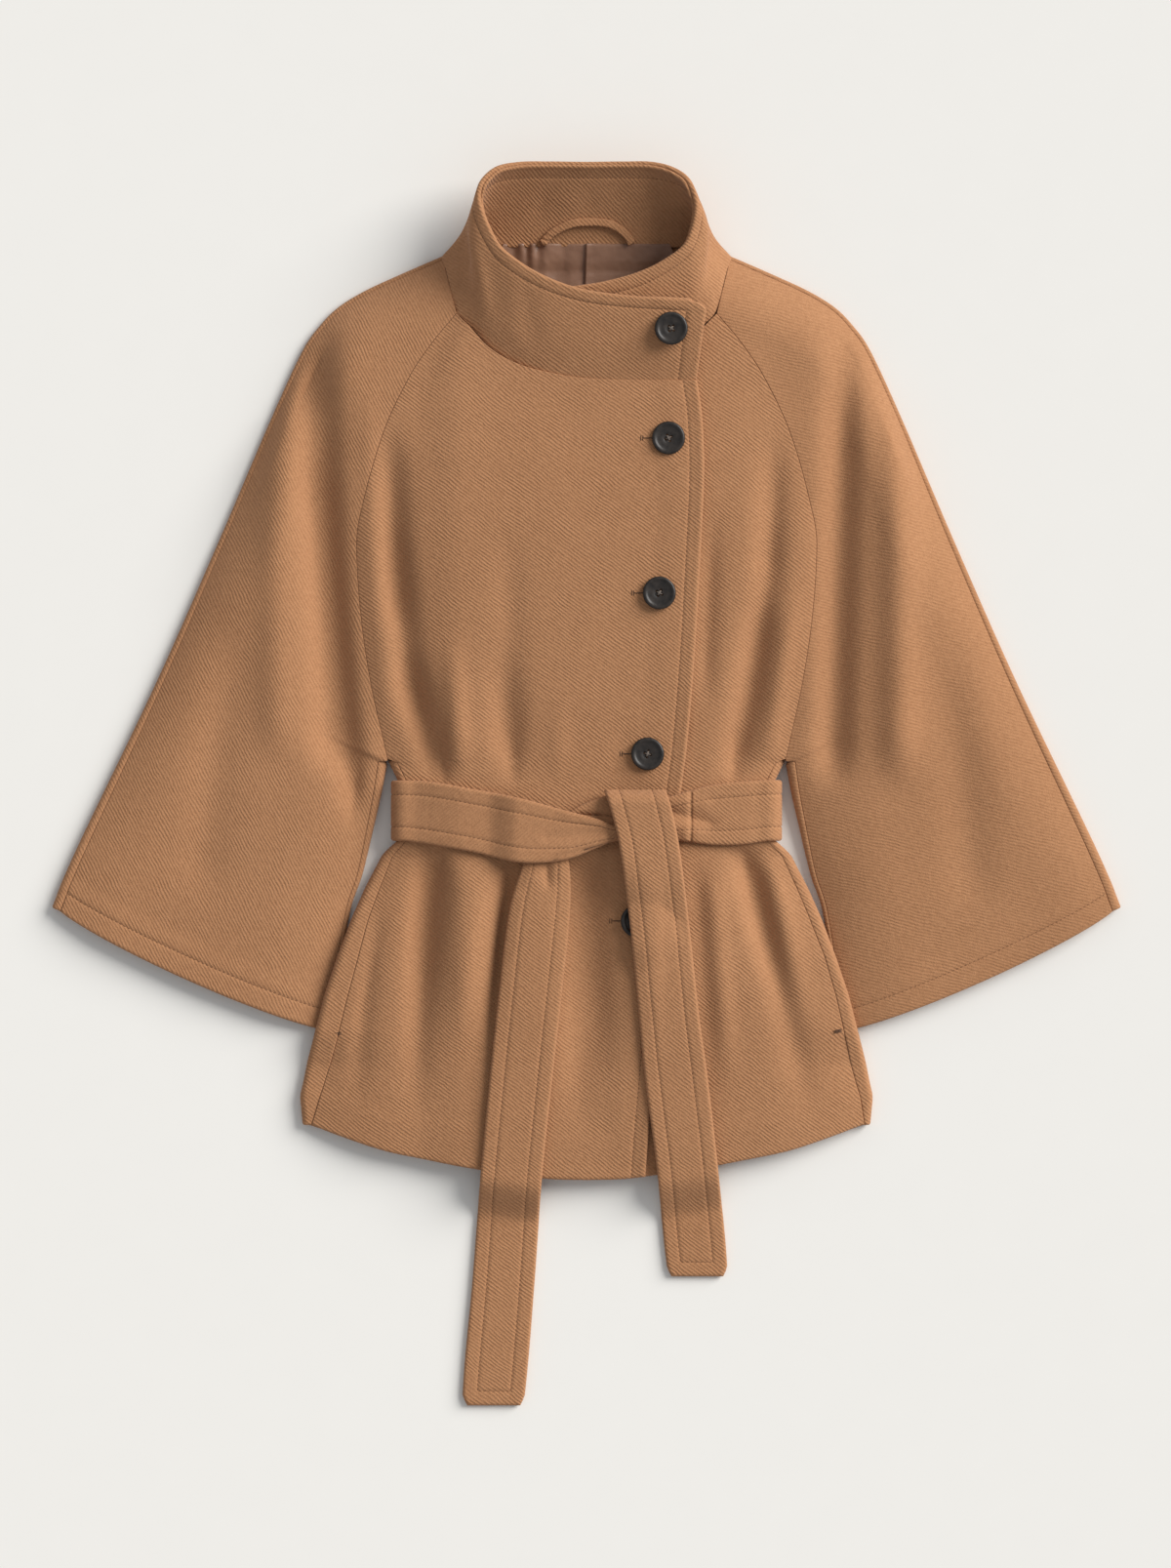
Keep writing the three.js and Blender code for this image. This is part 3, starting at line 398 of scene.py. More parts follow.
class Shader:  # one material and its nodes
    def __init__(self, name):
        self.material = bpy.data.materials.new(name)
        self.material.use_nodes = True
        self.tree = self.material.node_tree
        self.tree.nodes.clear()

    def node(self, kind, settings=None, sockets=None):
        made = self.tree.nodes.new("ShaderNode" + kind)
        for key, value in (settings or {}).items():
            setattr(made, key, value)
        for key, value in (sockets or {}).items():
            if isinstance(value, Value):
                self.tree.links.new(value.socket, made.inputs[key])
            else:
                made.inputs[key].default_value = value
        return lambda output=0: Value(self, made.outputs[output])

    def sum(self, operation, a, b):
        return self.node("Math", {"operation": operation}, {0: a, 1: b})()

    def wave(self, value):
        return self.node("Math", {"operation": "SINE"}, {0: value})()

    def noise(self, vector, scale, detail=2.0, roughness=0.5):
        sockets = {"Vector": vector, "Scale": scale, "Detail": detail, "Roughness": roughness}
        return self.node("TexNoise", None, sockets)("Fac")

    def blend(self, share, dark, light):
        settings = {"data_type": "RGBA", "clamp_factor": True}
        return self.node("Mix", settings, {0: share, 6: dark, 7: light})(2)

    def surface(self, colour, normal, values):
        sockets = {"Base Color": colour, **values}
        if normal:
            sockets["Normal"] = normal
        made = self.node("BsdfPrincipled", None, sockets)("BSDF")
        self.node("OutputMaterial", None, {"Surface": made})
        return self.material


woolLook = {
    "dark": (0.265, 0.114, 0.048, 1),
    "light": (0.555, 0.284, 0.142, 1),
    "pitch": 2.4,  # across the twill lines
    "bump": 0.7,
    "lineShade": 0.18,  # how much the twill lines change the colour
}


def woolTwill(name, angle, contrast=1.0):
    shader = Shader(name)
    place = shader.node("TexCoord")("Object")
    split = shader.node("SeparateXYZ", None, {0: place})
    x, y = split("X") * 1000, split("Y") * 1000
    wander = shader.noise(place, 90, 3.0) - 0.5
    drift = shader.noise(place, 18, 2.0) - 0.5
    turn = math.radians(angle)
    line = x * math.sin(turn) - y * math.cos(turn) + wander * 2.4 + drift * 5
    twill = shader.wave(line * (2 * math.pi / woolLook["pitch"]))
    fuzz = shader.noise(place, 900, 4.0, 0.65)
    nap = shader.noise(place, 260, 3.0, 0.6)
    cloudy = shader.noise(place, 9, 2.0)
    patchy = shader.noise(place, 60, 2.0)
    amount = woolLook["lineShade"] * contrast
    grain = (fuzz - 0.5) * 0.6 + (nap - 0.5) * 0.45 + (cloudy - 0.5) * 0.2
    share = 0.5 + twill * (patchy * amount) + grain
    colour = shader.blend(share, woolLook["dark"], woolLook["light"])
    height = twill * (patchy * 0.8 * contrast) + fuzz * 1.3 + nap * 1.2
    sockets = {"Height": height, "Strength": woolLook["bump"], "Distance": 0.0005}
    normal = shader.node("Bump", None, sockets)("Normal")
    finish = {"Roughness": 0.95, "Sheen Weight": 0.08, "Sheen Roughness": 0.5, "Specular IOR Level": 0.2}
    return shader.surface(colour, normal, finish)


def satinLining(name):
    shader = Shader(name)
    place = shader.node("TexCoord")("Object")
    ripple = shader.noise(place, 55, 2.0)
    thread = shader.noise(place, 1400, 2.0)
    share = 0.35 + (ripple - 0.5) * 0.9 + (thread - 0.5) * 0.2
    colour = shader.blend(share, (0.20, 0.095, 0.052, 1), (0.36, 0.19, 0.115, 1))
    height = ripple * 4 + thread * 0.3
    normal = shader.node("Bump", None, {"Height": height, "Strength": 0.5, "Distance": 0.001})("Normal")
    return shader.surface(colour, normal, {"Roughness": 0.42, "Sheen Weight": 0.2})


def darkHorn(name):
    shader = Shader(name)
    place = shader.node("TexCoord")("Object")
    streak = shader.noise(place, 210, 3.0)
    fine = shader.noise(place, 900, 2.0)
    colour = shader.blend((streak - 0.5) * 1.6 + 0.35, (0.010, 0.008, 0.007, 1), (0.042, 0.032, 0.026, 1))
    rough = 0.42 + (fine - 0.5) * 0.25
    return shader.surface(colour, None, {"Roughness": rough, "Specular IOR Level": 0.4})


def threadLook(name, colour):
    shader = Shader(name)
    place = shader.node("TexCoord")("Object")
    share = (shader.noise(place, 1500, 2.0) - 0.5) * 1.4 + 0.5
    dark = tuple(channel * 0.6 for channel in colour) + (1,)
    return shader.surface(shader.blend(share, dark, (*colour, 1)), None, {"Roughness": 0.7})


frontWool = woolTwill("camelTwillFront", -37)
leftSleeveWool = woolTwill("camelTwillLeftSleeve", -62, 0.8)
rightSleeveWool = woolTwill("camelTwillRightSleeve", -14, 0.6)
collarWool = woolTwill("camelTwillCollar", -37)
facingWool = woolTwill("camelTwillFacing", -45)
beltWool = woolTwill("camelTwillBelt", -38, 0.9)
bandWool = woolTwill("camelTwillBand", 40, 0.7)
satin = satinLining("brownSatin")
horn = darkHorn("darkHorn")
seamThread = threadLook("seamThread", (0.20, 0.085, 0.035))
buttonThread = threadLook("buttonThread", (0.17, 0.135, 0.11))
# near-black thread for the bar tacks, also used for the painted shade in the buttonhole slits
tackThreadAndSlitShade = threadLook("tackThreadAndSlitShade", (0.07, 0.03, 0.014))
print("materials ready")

stitchRuns = []  # polylines that get topstitching, gathered from each panel


# fronts

frontSizes = {
    "step": 3.0,
    "columns": 96,
    "edgeHalf": 2.2,
    "edgeLift": 1.4,  # the free edge stands a little proud of the coat
    "bandWide": 38,  # the doubled cloth along the free edge
    "hemTall": 34,
    "hemHalf": 1.9,
    "stitchFromEdge": 11,
}


def makeFront(name, side, topAt, edgeLift, node):
    tall = cloth["neckEndY"] - cloth["hemY"]
    rowY = cloth["neckEndY"] - stops(tall, seamStops, foldStops, frontSizes["step"])
    seam = seamAt(np.full(len(rowY), float(side)), rowY) - cloth["seamGap"] / 2
    endY = rowY + neckBow(rowY, np.full(len(rowY), -60.0)) + hemBow(rowY, 60.0)
    free = -along(frontEdge, "y", endY, "x")
    edgeStops = foldStops + stitchStops
    fromSeam = spread(seam - free, seamStops, edgeStops, frontSizes["columns"])
    own = seam[:, None] - fromSeam
    rows = np.broadcast_to(rowY[:, None], own.shape)
    y = rows + neckBow(rows, own) + hemBow(rows, own)
    x = side * own
    fromEdge = (seam - free)[:, None] - fromSeam
    fromHem = rows - cloth["hemY"]
    fromNeck = cloth["neckEndY"] - rows
    bandHalf = smooth((frontSizes["bandWide"] - fromEdge) / 18)
    hemHalf = smooth((frontSizes["hemTall"] - fromHem) / 14)
    thick = 1.2 + (frontSizes["edgeHalf"] - 1.2) * np.maximum(bandHalf, hemHalf * 0.8)
    half = thick * rounded(fromSeam, cloth["seamRound"]) * rounded(fromEdge, frontSizes["edgeHalf"])
    half = half * rounded(fromHem, frontSizes["hemHalf"]) * rounded(fromNeck, cloth["seamRound"])
    half = half - 0.5 * dip(fromEdge, frontSizes["stitchFromEdge"]) * smooth(half / 0.8)
    z = topAt(x, y) - cloth["wall"] / 2 + edgeLift * smooth((9 - fromEdge) / 9)
    mid = np.stack([x, y, z], axis=2)
    piece, top = clothShell(name, mid, half, frontWool)
    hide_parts(node)
    column = int(np.argmin(np.abs(fromEdge[0] - frontSizes["stitchFromEdge"])))
    return piece, top, column


frontUnder, _, _ = makeFront("frontUnder", 1, underTop, 0, "front_under")
frontOver, overGrid, stitchColumn = makeFront("frontOver", -1, overTop, frontSizes["edgeLift"], "front_over")
stitchRuns.append(overGrid[2:-3, stitchColumn])
print("fronts made")


# rolled edges of the back and the sleeves

def foldedEdge(radius, lift, inset):  # from the seam on top, over the edge, to the flat underside
    radius, lift, inset = (np.asarray(a, float)[:, None] for a in (radius, lift, inset))
    lip = np.maximum(inset - radius, 0.05)
    turn = radius - cloth["wall"] / 2
    total = lip + math.pi * turn
    near = np.array([0, 0.06, 0.2, 0.5, 1.7])[None, :]
    q = np.linspace(0, 1, 15)[None, 1:]
    d = np.concatenate([np.broadcast_to(near, (len(radius), 5)), 1.7 + (total - 1.7) * q], axis=1)
    angle = math.pi / 2 - np.maximum(d - lip, 0) / turn
    onLip = d < lip
    x = np.where(onLip, inset - d, radius - turn * np.cos(angle))
    z = lift + radius + np.where(onLip, turn, turn * np.sin(angle))
    return x, z, d


backSizes = {"step": 4.0, "flats": 10, "foldFrom": 18.6}


def makeBack():
    foldFrom = backSizes["foldFrom"]
    rowY = foldFrom - stops(foldFrom - cloth["hemY"], [0, 0.4, 1.2, 2.5], foldStops, backSizes["step"])
    edge = level(sideRows, "y", rowY, "edge")
    radius = level(sideRows, "y", rowY, "radius")
    lift = level(sideRows, "y", rowY, "lift")
    beltLift = np.where(rowY > -56, lift, 0)
    grid, distance = [], []
    for side, column in ((-1, "left"), (1, "right")):
        seam = level(sideRows, "y", rowY, column)
        x, z, d = foldedEdge(radius, lift, edge - seam - cloth["seamGap"] / 2)
        grid.append((side * (edge[:, None] - x), z, d))
    q = np.linspace(0, 1, backSizes["flats"] * 2 + 1)[None, 1:-1]
    leftX, rightX = grid[0][0][:, -1:], grid[1][0][:, -1:]
    flatX = leftX + (rightX - leftX) * q
    ramp = smooth((np.abs(flatX) - (edge - radius - 45)[:, None]) / 28)
    flatZ = beltLift[:, None] + (lift - beltLift)[:, None] * ramp + cloth["wall"] / 2
    x = np.concatenate([grid[0][0], flatX, grid[1][0][:, ::-1]], axis=1)
    z = np.concatenate([grid[0][1], flatZ, grid[1][1][:, ::-1]], axis=1)
    far = np.full(flatX.shape, 50.0)
    d = np.concatenate([grid[0][2], far, grid[1][2][:, ::-1]], axis=1)
    rows = np.broadcast_to(rowY[:, None], x.shape)
    fromHem = rows - cloth["hemY"]
    y = rows + hemBow(rows, x)
    half = 1.2 + 0.3 * smooth((frontSizes["hemTall"] - fromHem) / 14)
    half = half * rounded(d, cloth["seamRound"]) * rounded(fromHem, 1.6)
    lower, _ = clothShell("backBody", np.stack([x, y, z], axis=2), half, frontWool)

    rowY = np.linspace(cloth["backNeckY"], foldFrom, 46)
    edge = along(backRaglan, "y", rowY, "x") - cloth["seamGap"] / 2
    x = edge[:, None] * np.linspace(-1, 1, 31)[None, :]
    y = np.broadcast_to(rowY[:, None], x.shape)
    z = np.full(x.shape, cloth["wall"] / 2)
    upper, _ = clothShell("backYoke", np.stack([x, y, z], axis=2), np.full(x.shape, 1.2), frontWool)
    joinInto(lower, upper)
    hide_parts("back_body")
    return lower


def joinInto(target, *others):  # one mesh out of several pieces
    work = bmesh.new()
    work.from_mesh(target.data)
    for other in others:
        work.from_mesh(other.data)
        mesh = other.data
        bpy.data.objects.remove(other)
        bpy.data.meshes.remove(mesh)
    work.to_mesh(target.data)
    work.free()


backBody = makeBack()
print("back made")


# sleeves

overarmPoints = np.stack([overarmLine["x"], overarmLine["y"]], axis=1).astype(float)


def splineThrough(points, count=1600):  # a spline through the points, sampled evenly by length
    padded = np.concatenate([[2 * points[0] - points[1]], points, [2 * points[-1] - points[-2]]])
    t = np.linspace(0, len(points) - 1, count)
    i = np.clip(t.astype(int), 0, len(points) - 2)
    f = (t - i)[:, None]
    a, b, c, d = padded[i], padded[i + 1], padded[i + 2], padded[i + 3]
    raw = 0.5 * (2 * b + (c - a) * f + (2 * a - 5 * b + 4 * c - d) * f**2 + (3 * b - a - 3 * c + d) * f**3)
    run = np.concatenate([[0], np.cumsum(np.linalg.norm(np.diff(raw, axis=0), axis=1))])
    return raw, run


overarm, overarmRun = splineThrough(overarmPoints)

sleeveSizes = {
    "underarmShare": 0.653,
    "step": 3.4,
    "columns": 76,
    "stitchFromHem": 15,
    "settle": 4.3,  # length over which the sleeve parts from the body under the arm
}


def sleeveFrame(seamTable, topY, share):  # the two edges of a sleeve at each row
    length = overarmRun[-1]
    at = share * length
    out = np.stack([np.interp(at, overarmRun, overarm[:, k]) for k in (0, 1)], axis=1)
    ahead = np.stack([np.interp(at + 1.5, overarmRun, overarm[:, k]) for k in (0, 1)], axis=1)
    behind = np.stack([np.interp(at - 1.5, overarmRun, overarm[:, k]) for k in (0, 1)], axis=1)
    run = ahead - behind
    run /= np.linalg.norm(run, axis=1, keepdims=True)
    u = sleeveSizes["underarmShare"]
    attached = share <= u
    upper = topY + (cloth["underarmY"] - topY) * np.clip(share / u, 0, 1)
    drop = sleeveEdge["y"][-1] - cloth["underarmY"]
    lower = cloth["underarmY"] + drop * np.clip((share - u) / (1 - u), 0, 1)
    startY = np.where(attached, upper, lower)
    startX = np.where(attached, along(seamTable, "y", startY, "x"), along(sleeveEdge, "y", startY, "x"))
    free = smooth((share - u) * length / sleeveSizes["settle"])
    return {
        "share": share,
        "apart": smooth((share - u) * length / cloth["calmAfter"]),
        "out": out,
        "run": run,
        "start": np.stack([startX, startY], axis=1),
        "free": free,
        "radius": level(sleeveRows, "at", share, "radius"),
        "inset": level(sleeveRows, "at", share, "inset"),
        "innerRadius": along(sleeveEdgeRadius, "y", startY, "radius"),
    }


def cuffBow(rows, points, q):
    q = np.clip(q, 0, 1)
    reach = 8.5 * np.clip((rows["share"] - 0.8) / 0.2, 0, 1)[:, None] ** 2 * (4 * q * (1 - q)) ** 0.7
    return points + rows["run"][:, None, :] * reach[..., None]


def sleeveShares():
    length = overarmRun[-1]
    hemStops = foldStops + [9, 13, 14.2, 14.6, 15, 15.4, 15.8, 17.5]
    rows = stops(length, seamStops, hemStops, sleeveSizes["step"])
    fork = length * sleeveSizes["underarmShare"]
    rows = rows[(rows < fork - 0.6) | (rows > fork + 5)]
    return np.sort(np.concatenate([rows, fork + np.array([0, 0.6, 1.3, 2.1, 3, 4.3])])) / length


def makeSleeveFront(name, side, material, node):
    rows = sleeveFrame(raglanSeam, cloth["neckEndY"], sleeveShares())
    outward = np.stack([-rows["run"][:, 1], rows["run"][:, 0]], axis=1)
    gap = cloth["seamGap"]
    tip = rows["out"] - outward * (rows["inset"] + gap)[:, None]
    direction = tip - rows["start"]
    direction /= np.linalg.norm(direction, axis=1, keepdims=True)
    skip = gap / 2 + rows["free"] * (rows["innerRadius"] + 0.6 + gap / 2)
    begin = rows["start"] + direction * skip[:, None]
    width = np.linalg.norm(tip - begin, axis=1)
    a = spread(width, seamStops, seamStops, sleeveSizes["columns"])
    q = a / width[:, None]
    points = cuffBow(rows, begin[:, None] + (tip - begin)[:, None] * q[..., None], q)
    x, y = side * points[..., 0], points[..., 1]
    middle = along(sleeveRows, "at", rows["share"], "middle")[:, None]
    attachedZ = seamHeight(np.maximum(rows["start"][:, 1], cloth["underarmY"]))
    inner = (attachedZ + (2 * rows["innerRadius"] - attachedZ) * rows["free"])[:, None]
    outer = 2 * rows["radius"][:, None]
    wide = width[:, None]
    z = middle - (middle - inner) * (1 - riseTo(a / 60)) - (middle - outer) * (1 - riseTo((wide - a) / 45))
    calm = cloth["calmEdge"]
    settled = np.clip((wide - a) / calm, 0, 1) * (1 - rows["apart"][:, None] * (1 - np.clip(a / calm, 0, 1)))
    z = z + (creaseAt(x, y) + unevenAt(x, y)) * settled - cloth["wall"] / 2
    fromHem = ((1 - rows["share"]) * overarmRun[-1])[:, None]
    fromNeck = (rows["share"] * overarmRun[-1])[:, None]
    half = (1.2 + 0.7 * smooth((30 - fromHem) / 12)) * rounded(a, cloth["seamRound"])
    half = half * rounded(wide - a, cloth["seamRound"])
    half = half * rounded(fromHem, 1.9) * rounded(fromNeck, cloth["seamRound"])
    half = half - 0.45 * dip(fromHem, sleeveSizes["stitchFromHem"]) * smooth(half / 0.8)
    piece, top = clothShell(name, np.stack([x, y, z], axis=2), half, material)
    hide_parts(node)
    row = int(np.argmin(np.abs(fromHem[:, 0] - sleeveSizes["stitchFromHem"])))
    stitchRuns.append(top[row, 3:-3])
    return piece


def makeSleeveBack(name, side, material, node):
    rows = sleeveFrame(backRaglan, cloth["backNeckY"], sleeveShares())
    outward = np.stack([-rows["run"][:, 1], rows["run"][:, 0]], axis=1)
    flat = np.zeros(len(rows["share"]))
    farX, farZ, farD = foldedEdge(rows["radius"], flat, rows["inset"])
    nearX, nearZ, nearD = foldedEdge(rows["innerRadius"], flat, rows["innerRadius"] + 0.6)
    direction = rows["out"] - rows["start"]
    direction /= np.linalg.norm(direction, axis=1, keepdims=True)
    free = rows["free"][:, None]
    laid = np.linspace(cloth["seamGap"] / 2, 7, nearX.shape[1])[None, :]
    nearX = laid + (nearX - laid) * free
    nearZ = cloth["wall"] / 2 + (nearZ - cloth["wall"] / 2) * free
    near = rows["start"][:, None] + direction[:, None] * nearX[..., None]
    far = rows["out"][:, None] - outward[:, None] * farX[..., None]
    q = np.linspace(0, 1, 12)[None, 1:-1]
    span = far[:, -1:] - near[:, -1:]
    middle = near[:, -1:] + span * q[..., None]
    points = np.concatenate([near, middle, far[:, ::-1]], axis=1)
    evenly = np.broadcast_to(q, middle.shape[:2])
    share = np.concatenate([np.zeros(nearX.shape), evenly, np.ones(farX.shape)], axis=1)
    points = cuffBow(rows, points, share)
    flats = np.full(middle.shape[:2], cloth["wall"] / 2)
    z = np.concatenate([nearZ, flats, farZ[:, ::-1]], axis=1)
    d = np.concatenate([nearD, flats + 50, farD[:, ::-1]], axis=1)
    fromHem = ((1 - rows["share"]) * overarmRun[-1])[:, None]
    half = (1.2 + 0.2 * smooth((30 - fromHem) / 12)) * rounded(d, cloth["seamRound"]) * rounded(fromHem, 1.5)
    mid = np.stack([side * points[..., 0], points[..., 1], z], axis=2)
    piece, _ = clothShell(name, mid, half, material)
    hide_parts(node)
    return piece


for side, label, material in ((-1, "left", leftSleeveWool), (1, "right", rightSleeveWool)):
    fore = makeSleeveFront(f"{label}SleeveFront", side, material, f"sleeve_{label}_front")
    rear = makeSleeveBack(f"{label}SleeveBack", side, material, f"sleeve_{label}_back")
print("sleeves made")


# collar

# from the upper front end round the left side and the back: foot, flare, fold and rim
collarStations = np.array([
    ((84.6, 311, 34.5), (87.3, 331, 40.5), (90, 351, 45.5), (93, 370.5, 49)),
    ((58, 311.4, 34.5), (60, 332, 40.8), (62, 352, 46), (64, 372, 50)),
    ((31, 311.6, 34.5), (32, 333, 40.8), (33, 354, 46), (33.5, 373.5, 50)),
    ((0, 312.8, 34), (-0.5, 336, 40.8), (-2, 358, 46), (-4, 378.5, 50.5)),
    ((-29, 317.4, 33), (-29, 342, 40.5), (-29.5, 365, 46.5), (-30, 387.5, 51.5)),
    ((-54, 324.6, 31), (-54, 350, 40), (-52.5, 375, 47), (-50, 398.5, 52.5)),
    ((-74.4, 337, 30), (-72.5, 362, 38.5), (-71, 388, 47), (-67.5, 413, 53.5)),
    ((-89, 353.2, 28), (-84, 375, 37), (-82, 401, 47), (-77, 431, 54)),
    ((-98.6, 363.6, 26.3), (-88.5, 386, 34.5), (-88, 413, 46), (-81.5, 443, 54)),
    ((-104.6, 385, 21.3), (-90, 404, 29), (-90.5, 425, 43), (-83.5, 452, 53)),
    ((-107.8, 397.6, 13.5), (-93, 415, 24), (-90.5, 434, 38), (-82.5, 459, 51.5)),
    ((-110.9, 408.1, 4.5), (-97.5, 423, 16), (-88, 442, 31), (-78.5, 466, 49)),
    ((-100, 406.8, 1.6), (-86, 428, 9), (-77.5, 451, 25), (-69, 474, 44.5)),
    ((-78, 403, 0.9), (-69, 429, 7.5), (-61, 454, 21), (-52, 478, 39)),
    ((-40, 403, 0.8), (-36, 429, 7.5), (-32, 454.5, 20), (-27, 478.5, 36)),
    ((0, 403, 0.6), (0, 429, 7.5), (0, 454.5, 20), (0, 478.2, 36)),
    ((40, 403, 0.8), (36, 429, 7.5), (32, 454.5, 20), (27, 478.5, 36)),
    ((78, 403, 0.9), (69, 429, 7.5), (60, 454, 21), (51, 478, 39)),
    ((100, 406.8, 1.6), (87, 428, 9), (78, 451, 25), (67.5, 473, 44.5)),
    ((110.9, 408.1, 4.5), (98.5, 421.5, 16), (89, 442, 31), (77.5, 465.5, 48)),
    ((107.8, 397.6, 14), (95.5, 413, 23.5), (92.3, 434, 35), (82.5, 456, 48.5)),
    ((104.6, 385, 21.5), (93, 402, 28.5), (93, 424, 38.5), (84.5, 445, 48)),
    ((98.6, 363.6, 26), (91.3, 387, 31.5), (90, 410, 39), (82, 428, 47)),
    ((89, 353.4, 26.5), (85, 374, 32.2), (82, 394, 39.5), (75.5, 413.5, 46)),
    ((74.2, 337.4, 24.5), (70, 360, 31.5), (66.5, 382, 38.5), (60, 401.5, 45)),
    ((50, 324.2, 25), (48.5, 347, 31.5), (46, 370, 38), (42, 393, 43.5)),
    ((16, 316.2, 25.5), (16.5, 340, 31.5), (15.5, 362.5, 37.5), (14, 385, 42.5)),
    ((-16, 316.2, 25.5), (-15.5, 339, 31.5), (-15, 361, 37.5), (-14, 380.5, 42)),
])
collarSizes = {
    "tall": 74.0,
    "length": 560.0,
    "facingFoot": 0.16,
    "facingMid": 4.2,  # depth of the facing's middle below the outer face
    "stitchFromRim": 10.5,
    "insideStitch": 10.5,
    "roll": 1.75,  # radius of the rolled rim
    "lip": 1.1,
    "corner": 8.5,
    "footReach": 1.3,
}
collarFolds = [
    (-78, 412, -58, 344, -1.5, 11),
    (-87, 418, -75, 352, 1.2, 6),
    (-50, 392, -40, 327, -1.3, 9),
    (-26, 466, -44, 428, -1.6, 5),
    (10, 462, -3, 436, -1.5, 6),
    (-6, 468, -22, 436, 1.2, 6),
    (44, 470, 30, 440, 1.0, 7),
    (64, 476, 72, 448, -1.6, 6),
]
away = collarStations[:, 0] - collarStations[:, 1]
away /= np.linalg.norm(away, axis=1, keepdims=True)
collarStations[:, 0] += away * collarSizes["footReach"]  # so that the foot meets the fronts


def splineAt(points, t):  # centripetal spline; one share of the way for each point asked for
    points = np.asarray(points, float)
    if points.ndim == 2:
        points = points[:, None]
    padded = np.concatenate([[2 * points[0] - points[1]], points, [2 * points[-1] - points[-2]]])
    gaps = np.linalg.norm(np.diff(padded, axis=0), axis=-1, keepdims=True) ** 0.5
    gaps = np.maximum(gaps, 1e-4)
    at = np.clip(t, 0, 1) * (len(points) - 1)
    i = np.clip(at.astype(int), 0, len(points) - 2)
    k = np.arange(len(at)) % points.shape[1]
    f = (at - i)[:, None]
    a, b, c, d = (padded[i + n, k] for n in range(4))
    g0, g1, g2 = (gaps[i + n, k] for n in range(3))
    m1 = ((b - a) / g0 - (c - a) / (g0 + g1) + (c - b) / g1) * g1
    m2 = ((c - b) / g1 - (d - b) / (g1 + g2) + (d - c) / g2) * g1
    return b + m1 * f + (-3 * b + 3 * c - 2 * m1 - m2) * f**2 + (2 * b - 2 * c + m1 + m2) * f**3


def collarFold(x, y):
    return foldLines(x, y, collarFolds, lambda y1: (24, 0, 24, 0))


def collarSurface(around, up):  # outer face over two grids of shares
    rings = np.stack([splineAt(collarStations[:, k], around.ravel()) for k in range(4)])
    surface = splineAt(rings, up.ravel()).reshape(*up.shape, 3)
    surface[..., 2] += collarFold(surface[..., 0], surface[..., 1])
    return surface


def collarLayer(around, up, depth):
    surface = collarSurface(around, up)
    normal = np.cross(np.gradient(surface, axis=0), np.gradient(surface, axis=1))
    normal /= np.maximum(np.linalg.norm(normal, axis=2, keepdims=True), 1e-9)
    upward = np.gradient(surface, axis=0)[-1]
    upward /= np.linalg.norm(upward, axis=1, keepdims=True)
    return surface - normal * np.reshape(depth, (-1, 1, 1)), normal, upward


def collarGrid(fromFront, upMm):  # shares for each point, with the upper front corner rounded
    corner = collarSizes["corner"]
    near = np.clip(corner - (collarSizes["tall"] - 2.4 - upMm), 0, corner)
    back = (corner - np.sqrt(np.maximum(corner**2 - near**2, 0)))[:, None]
    along = fromFront[None, :] + back * (1 - smooth(fromFront / 60))[None, :]
    up = np.broadcast_to(upMm[:, None] / collarSizes["tall"], along.shape)
    return along / collarSizes["length"], up


def rimRoll(edge, normal, upward, radius, turns):  # rows that carry an edge over a small roll
    centre = edge - normal * radius
    angles = np.linspace(0, math.pi, turns + 1)[1:]
    return [centre + radius * (normal * math.cos(a) + upward * math.sin(a)) for a in angles]


def makeCollar():
    tall, length = collarSizes["tall"], collarSizes["length"]
    fromFront = stops(length, foldStops + stitchStops, seamStops, 2.2)
    rimStops = [0, 0.8, 2, 4.5, 7.5, 8.1, 8.7, 9.3, 10, 12]
    upMm = stops(tall - 1.8, seamStops, rimStops, 2.6)
    around, up = collarGrid(fromFront, upMm)
    mid, normal, upward = collarLayer(around, up, cloth["wall"] / 2)
    roll = rimRoll(mid[-1], normal[-1], upward, collarSizes["roll"] - cloth["wall"] / 2, 8)
    down = [roll[-1] - upward * k for k in (0.6, 1.1, 1.5)]
    mid = np.concatenate([mid, np.array(roll + down)])
    rows = len(upMm)
    fromFoot = np.concatenate([upMm, np.full(11, 60.0)])[:, None]
    tuck = np.concatenate([np.full(rows + 8, 9.0), [0.9, 0.4, 0.0]])[:, None]
    fromRim = np.concatenate([tall - upMm, np.zeros(11)])[:, None]
    fromFront = fromFront[None, :]
    half = 1.2 + 0.5 * smooth((34 - fromFront) / 16) + 0.3 * smooth((12 - fromRim) / 4)
    half = half * rounded(fromFoot, cloth["seamRound"]) * rounded(tuck, 1.0)
    half = half * rounded(fromFront, 2.0)
    topStitch = dip(fromRim, collarSizes["stitchFromRim"]) * (fromFront > 10)
    endStitch = dip(fromFront, 11) * (fromRim > 10)
    half = half - 0.55 * np.maximum(topStitch, endStitch) * smooth(half / 0.8)
    piece, _ = clothShell("collarOuter", mid, half, collarWool)
    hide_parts("collar")
    row = int(np.argmin(np.abs(fromRim[:, 0] - collarSizes["stitchFromRim"])))
    column = int(np.argmin(np.abs(fromFront[0] - 11)))
    normals = gridNormals(mid)
    shell = mid + normals * half[..., None] * (1 if normals[8, 60, 2] > 0 else -1)
    stitchRuns.append(shell[row, column:])
    stitchRuns.append(shell[3:row, column])
    return piece


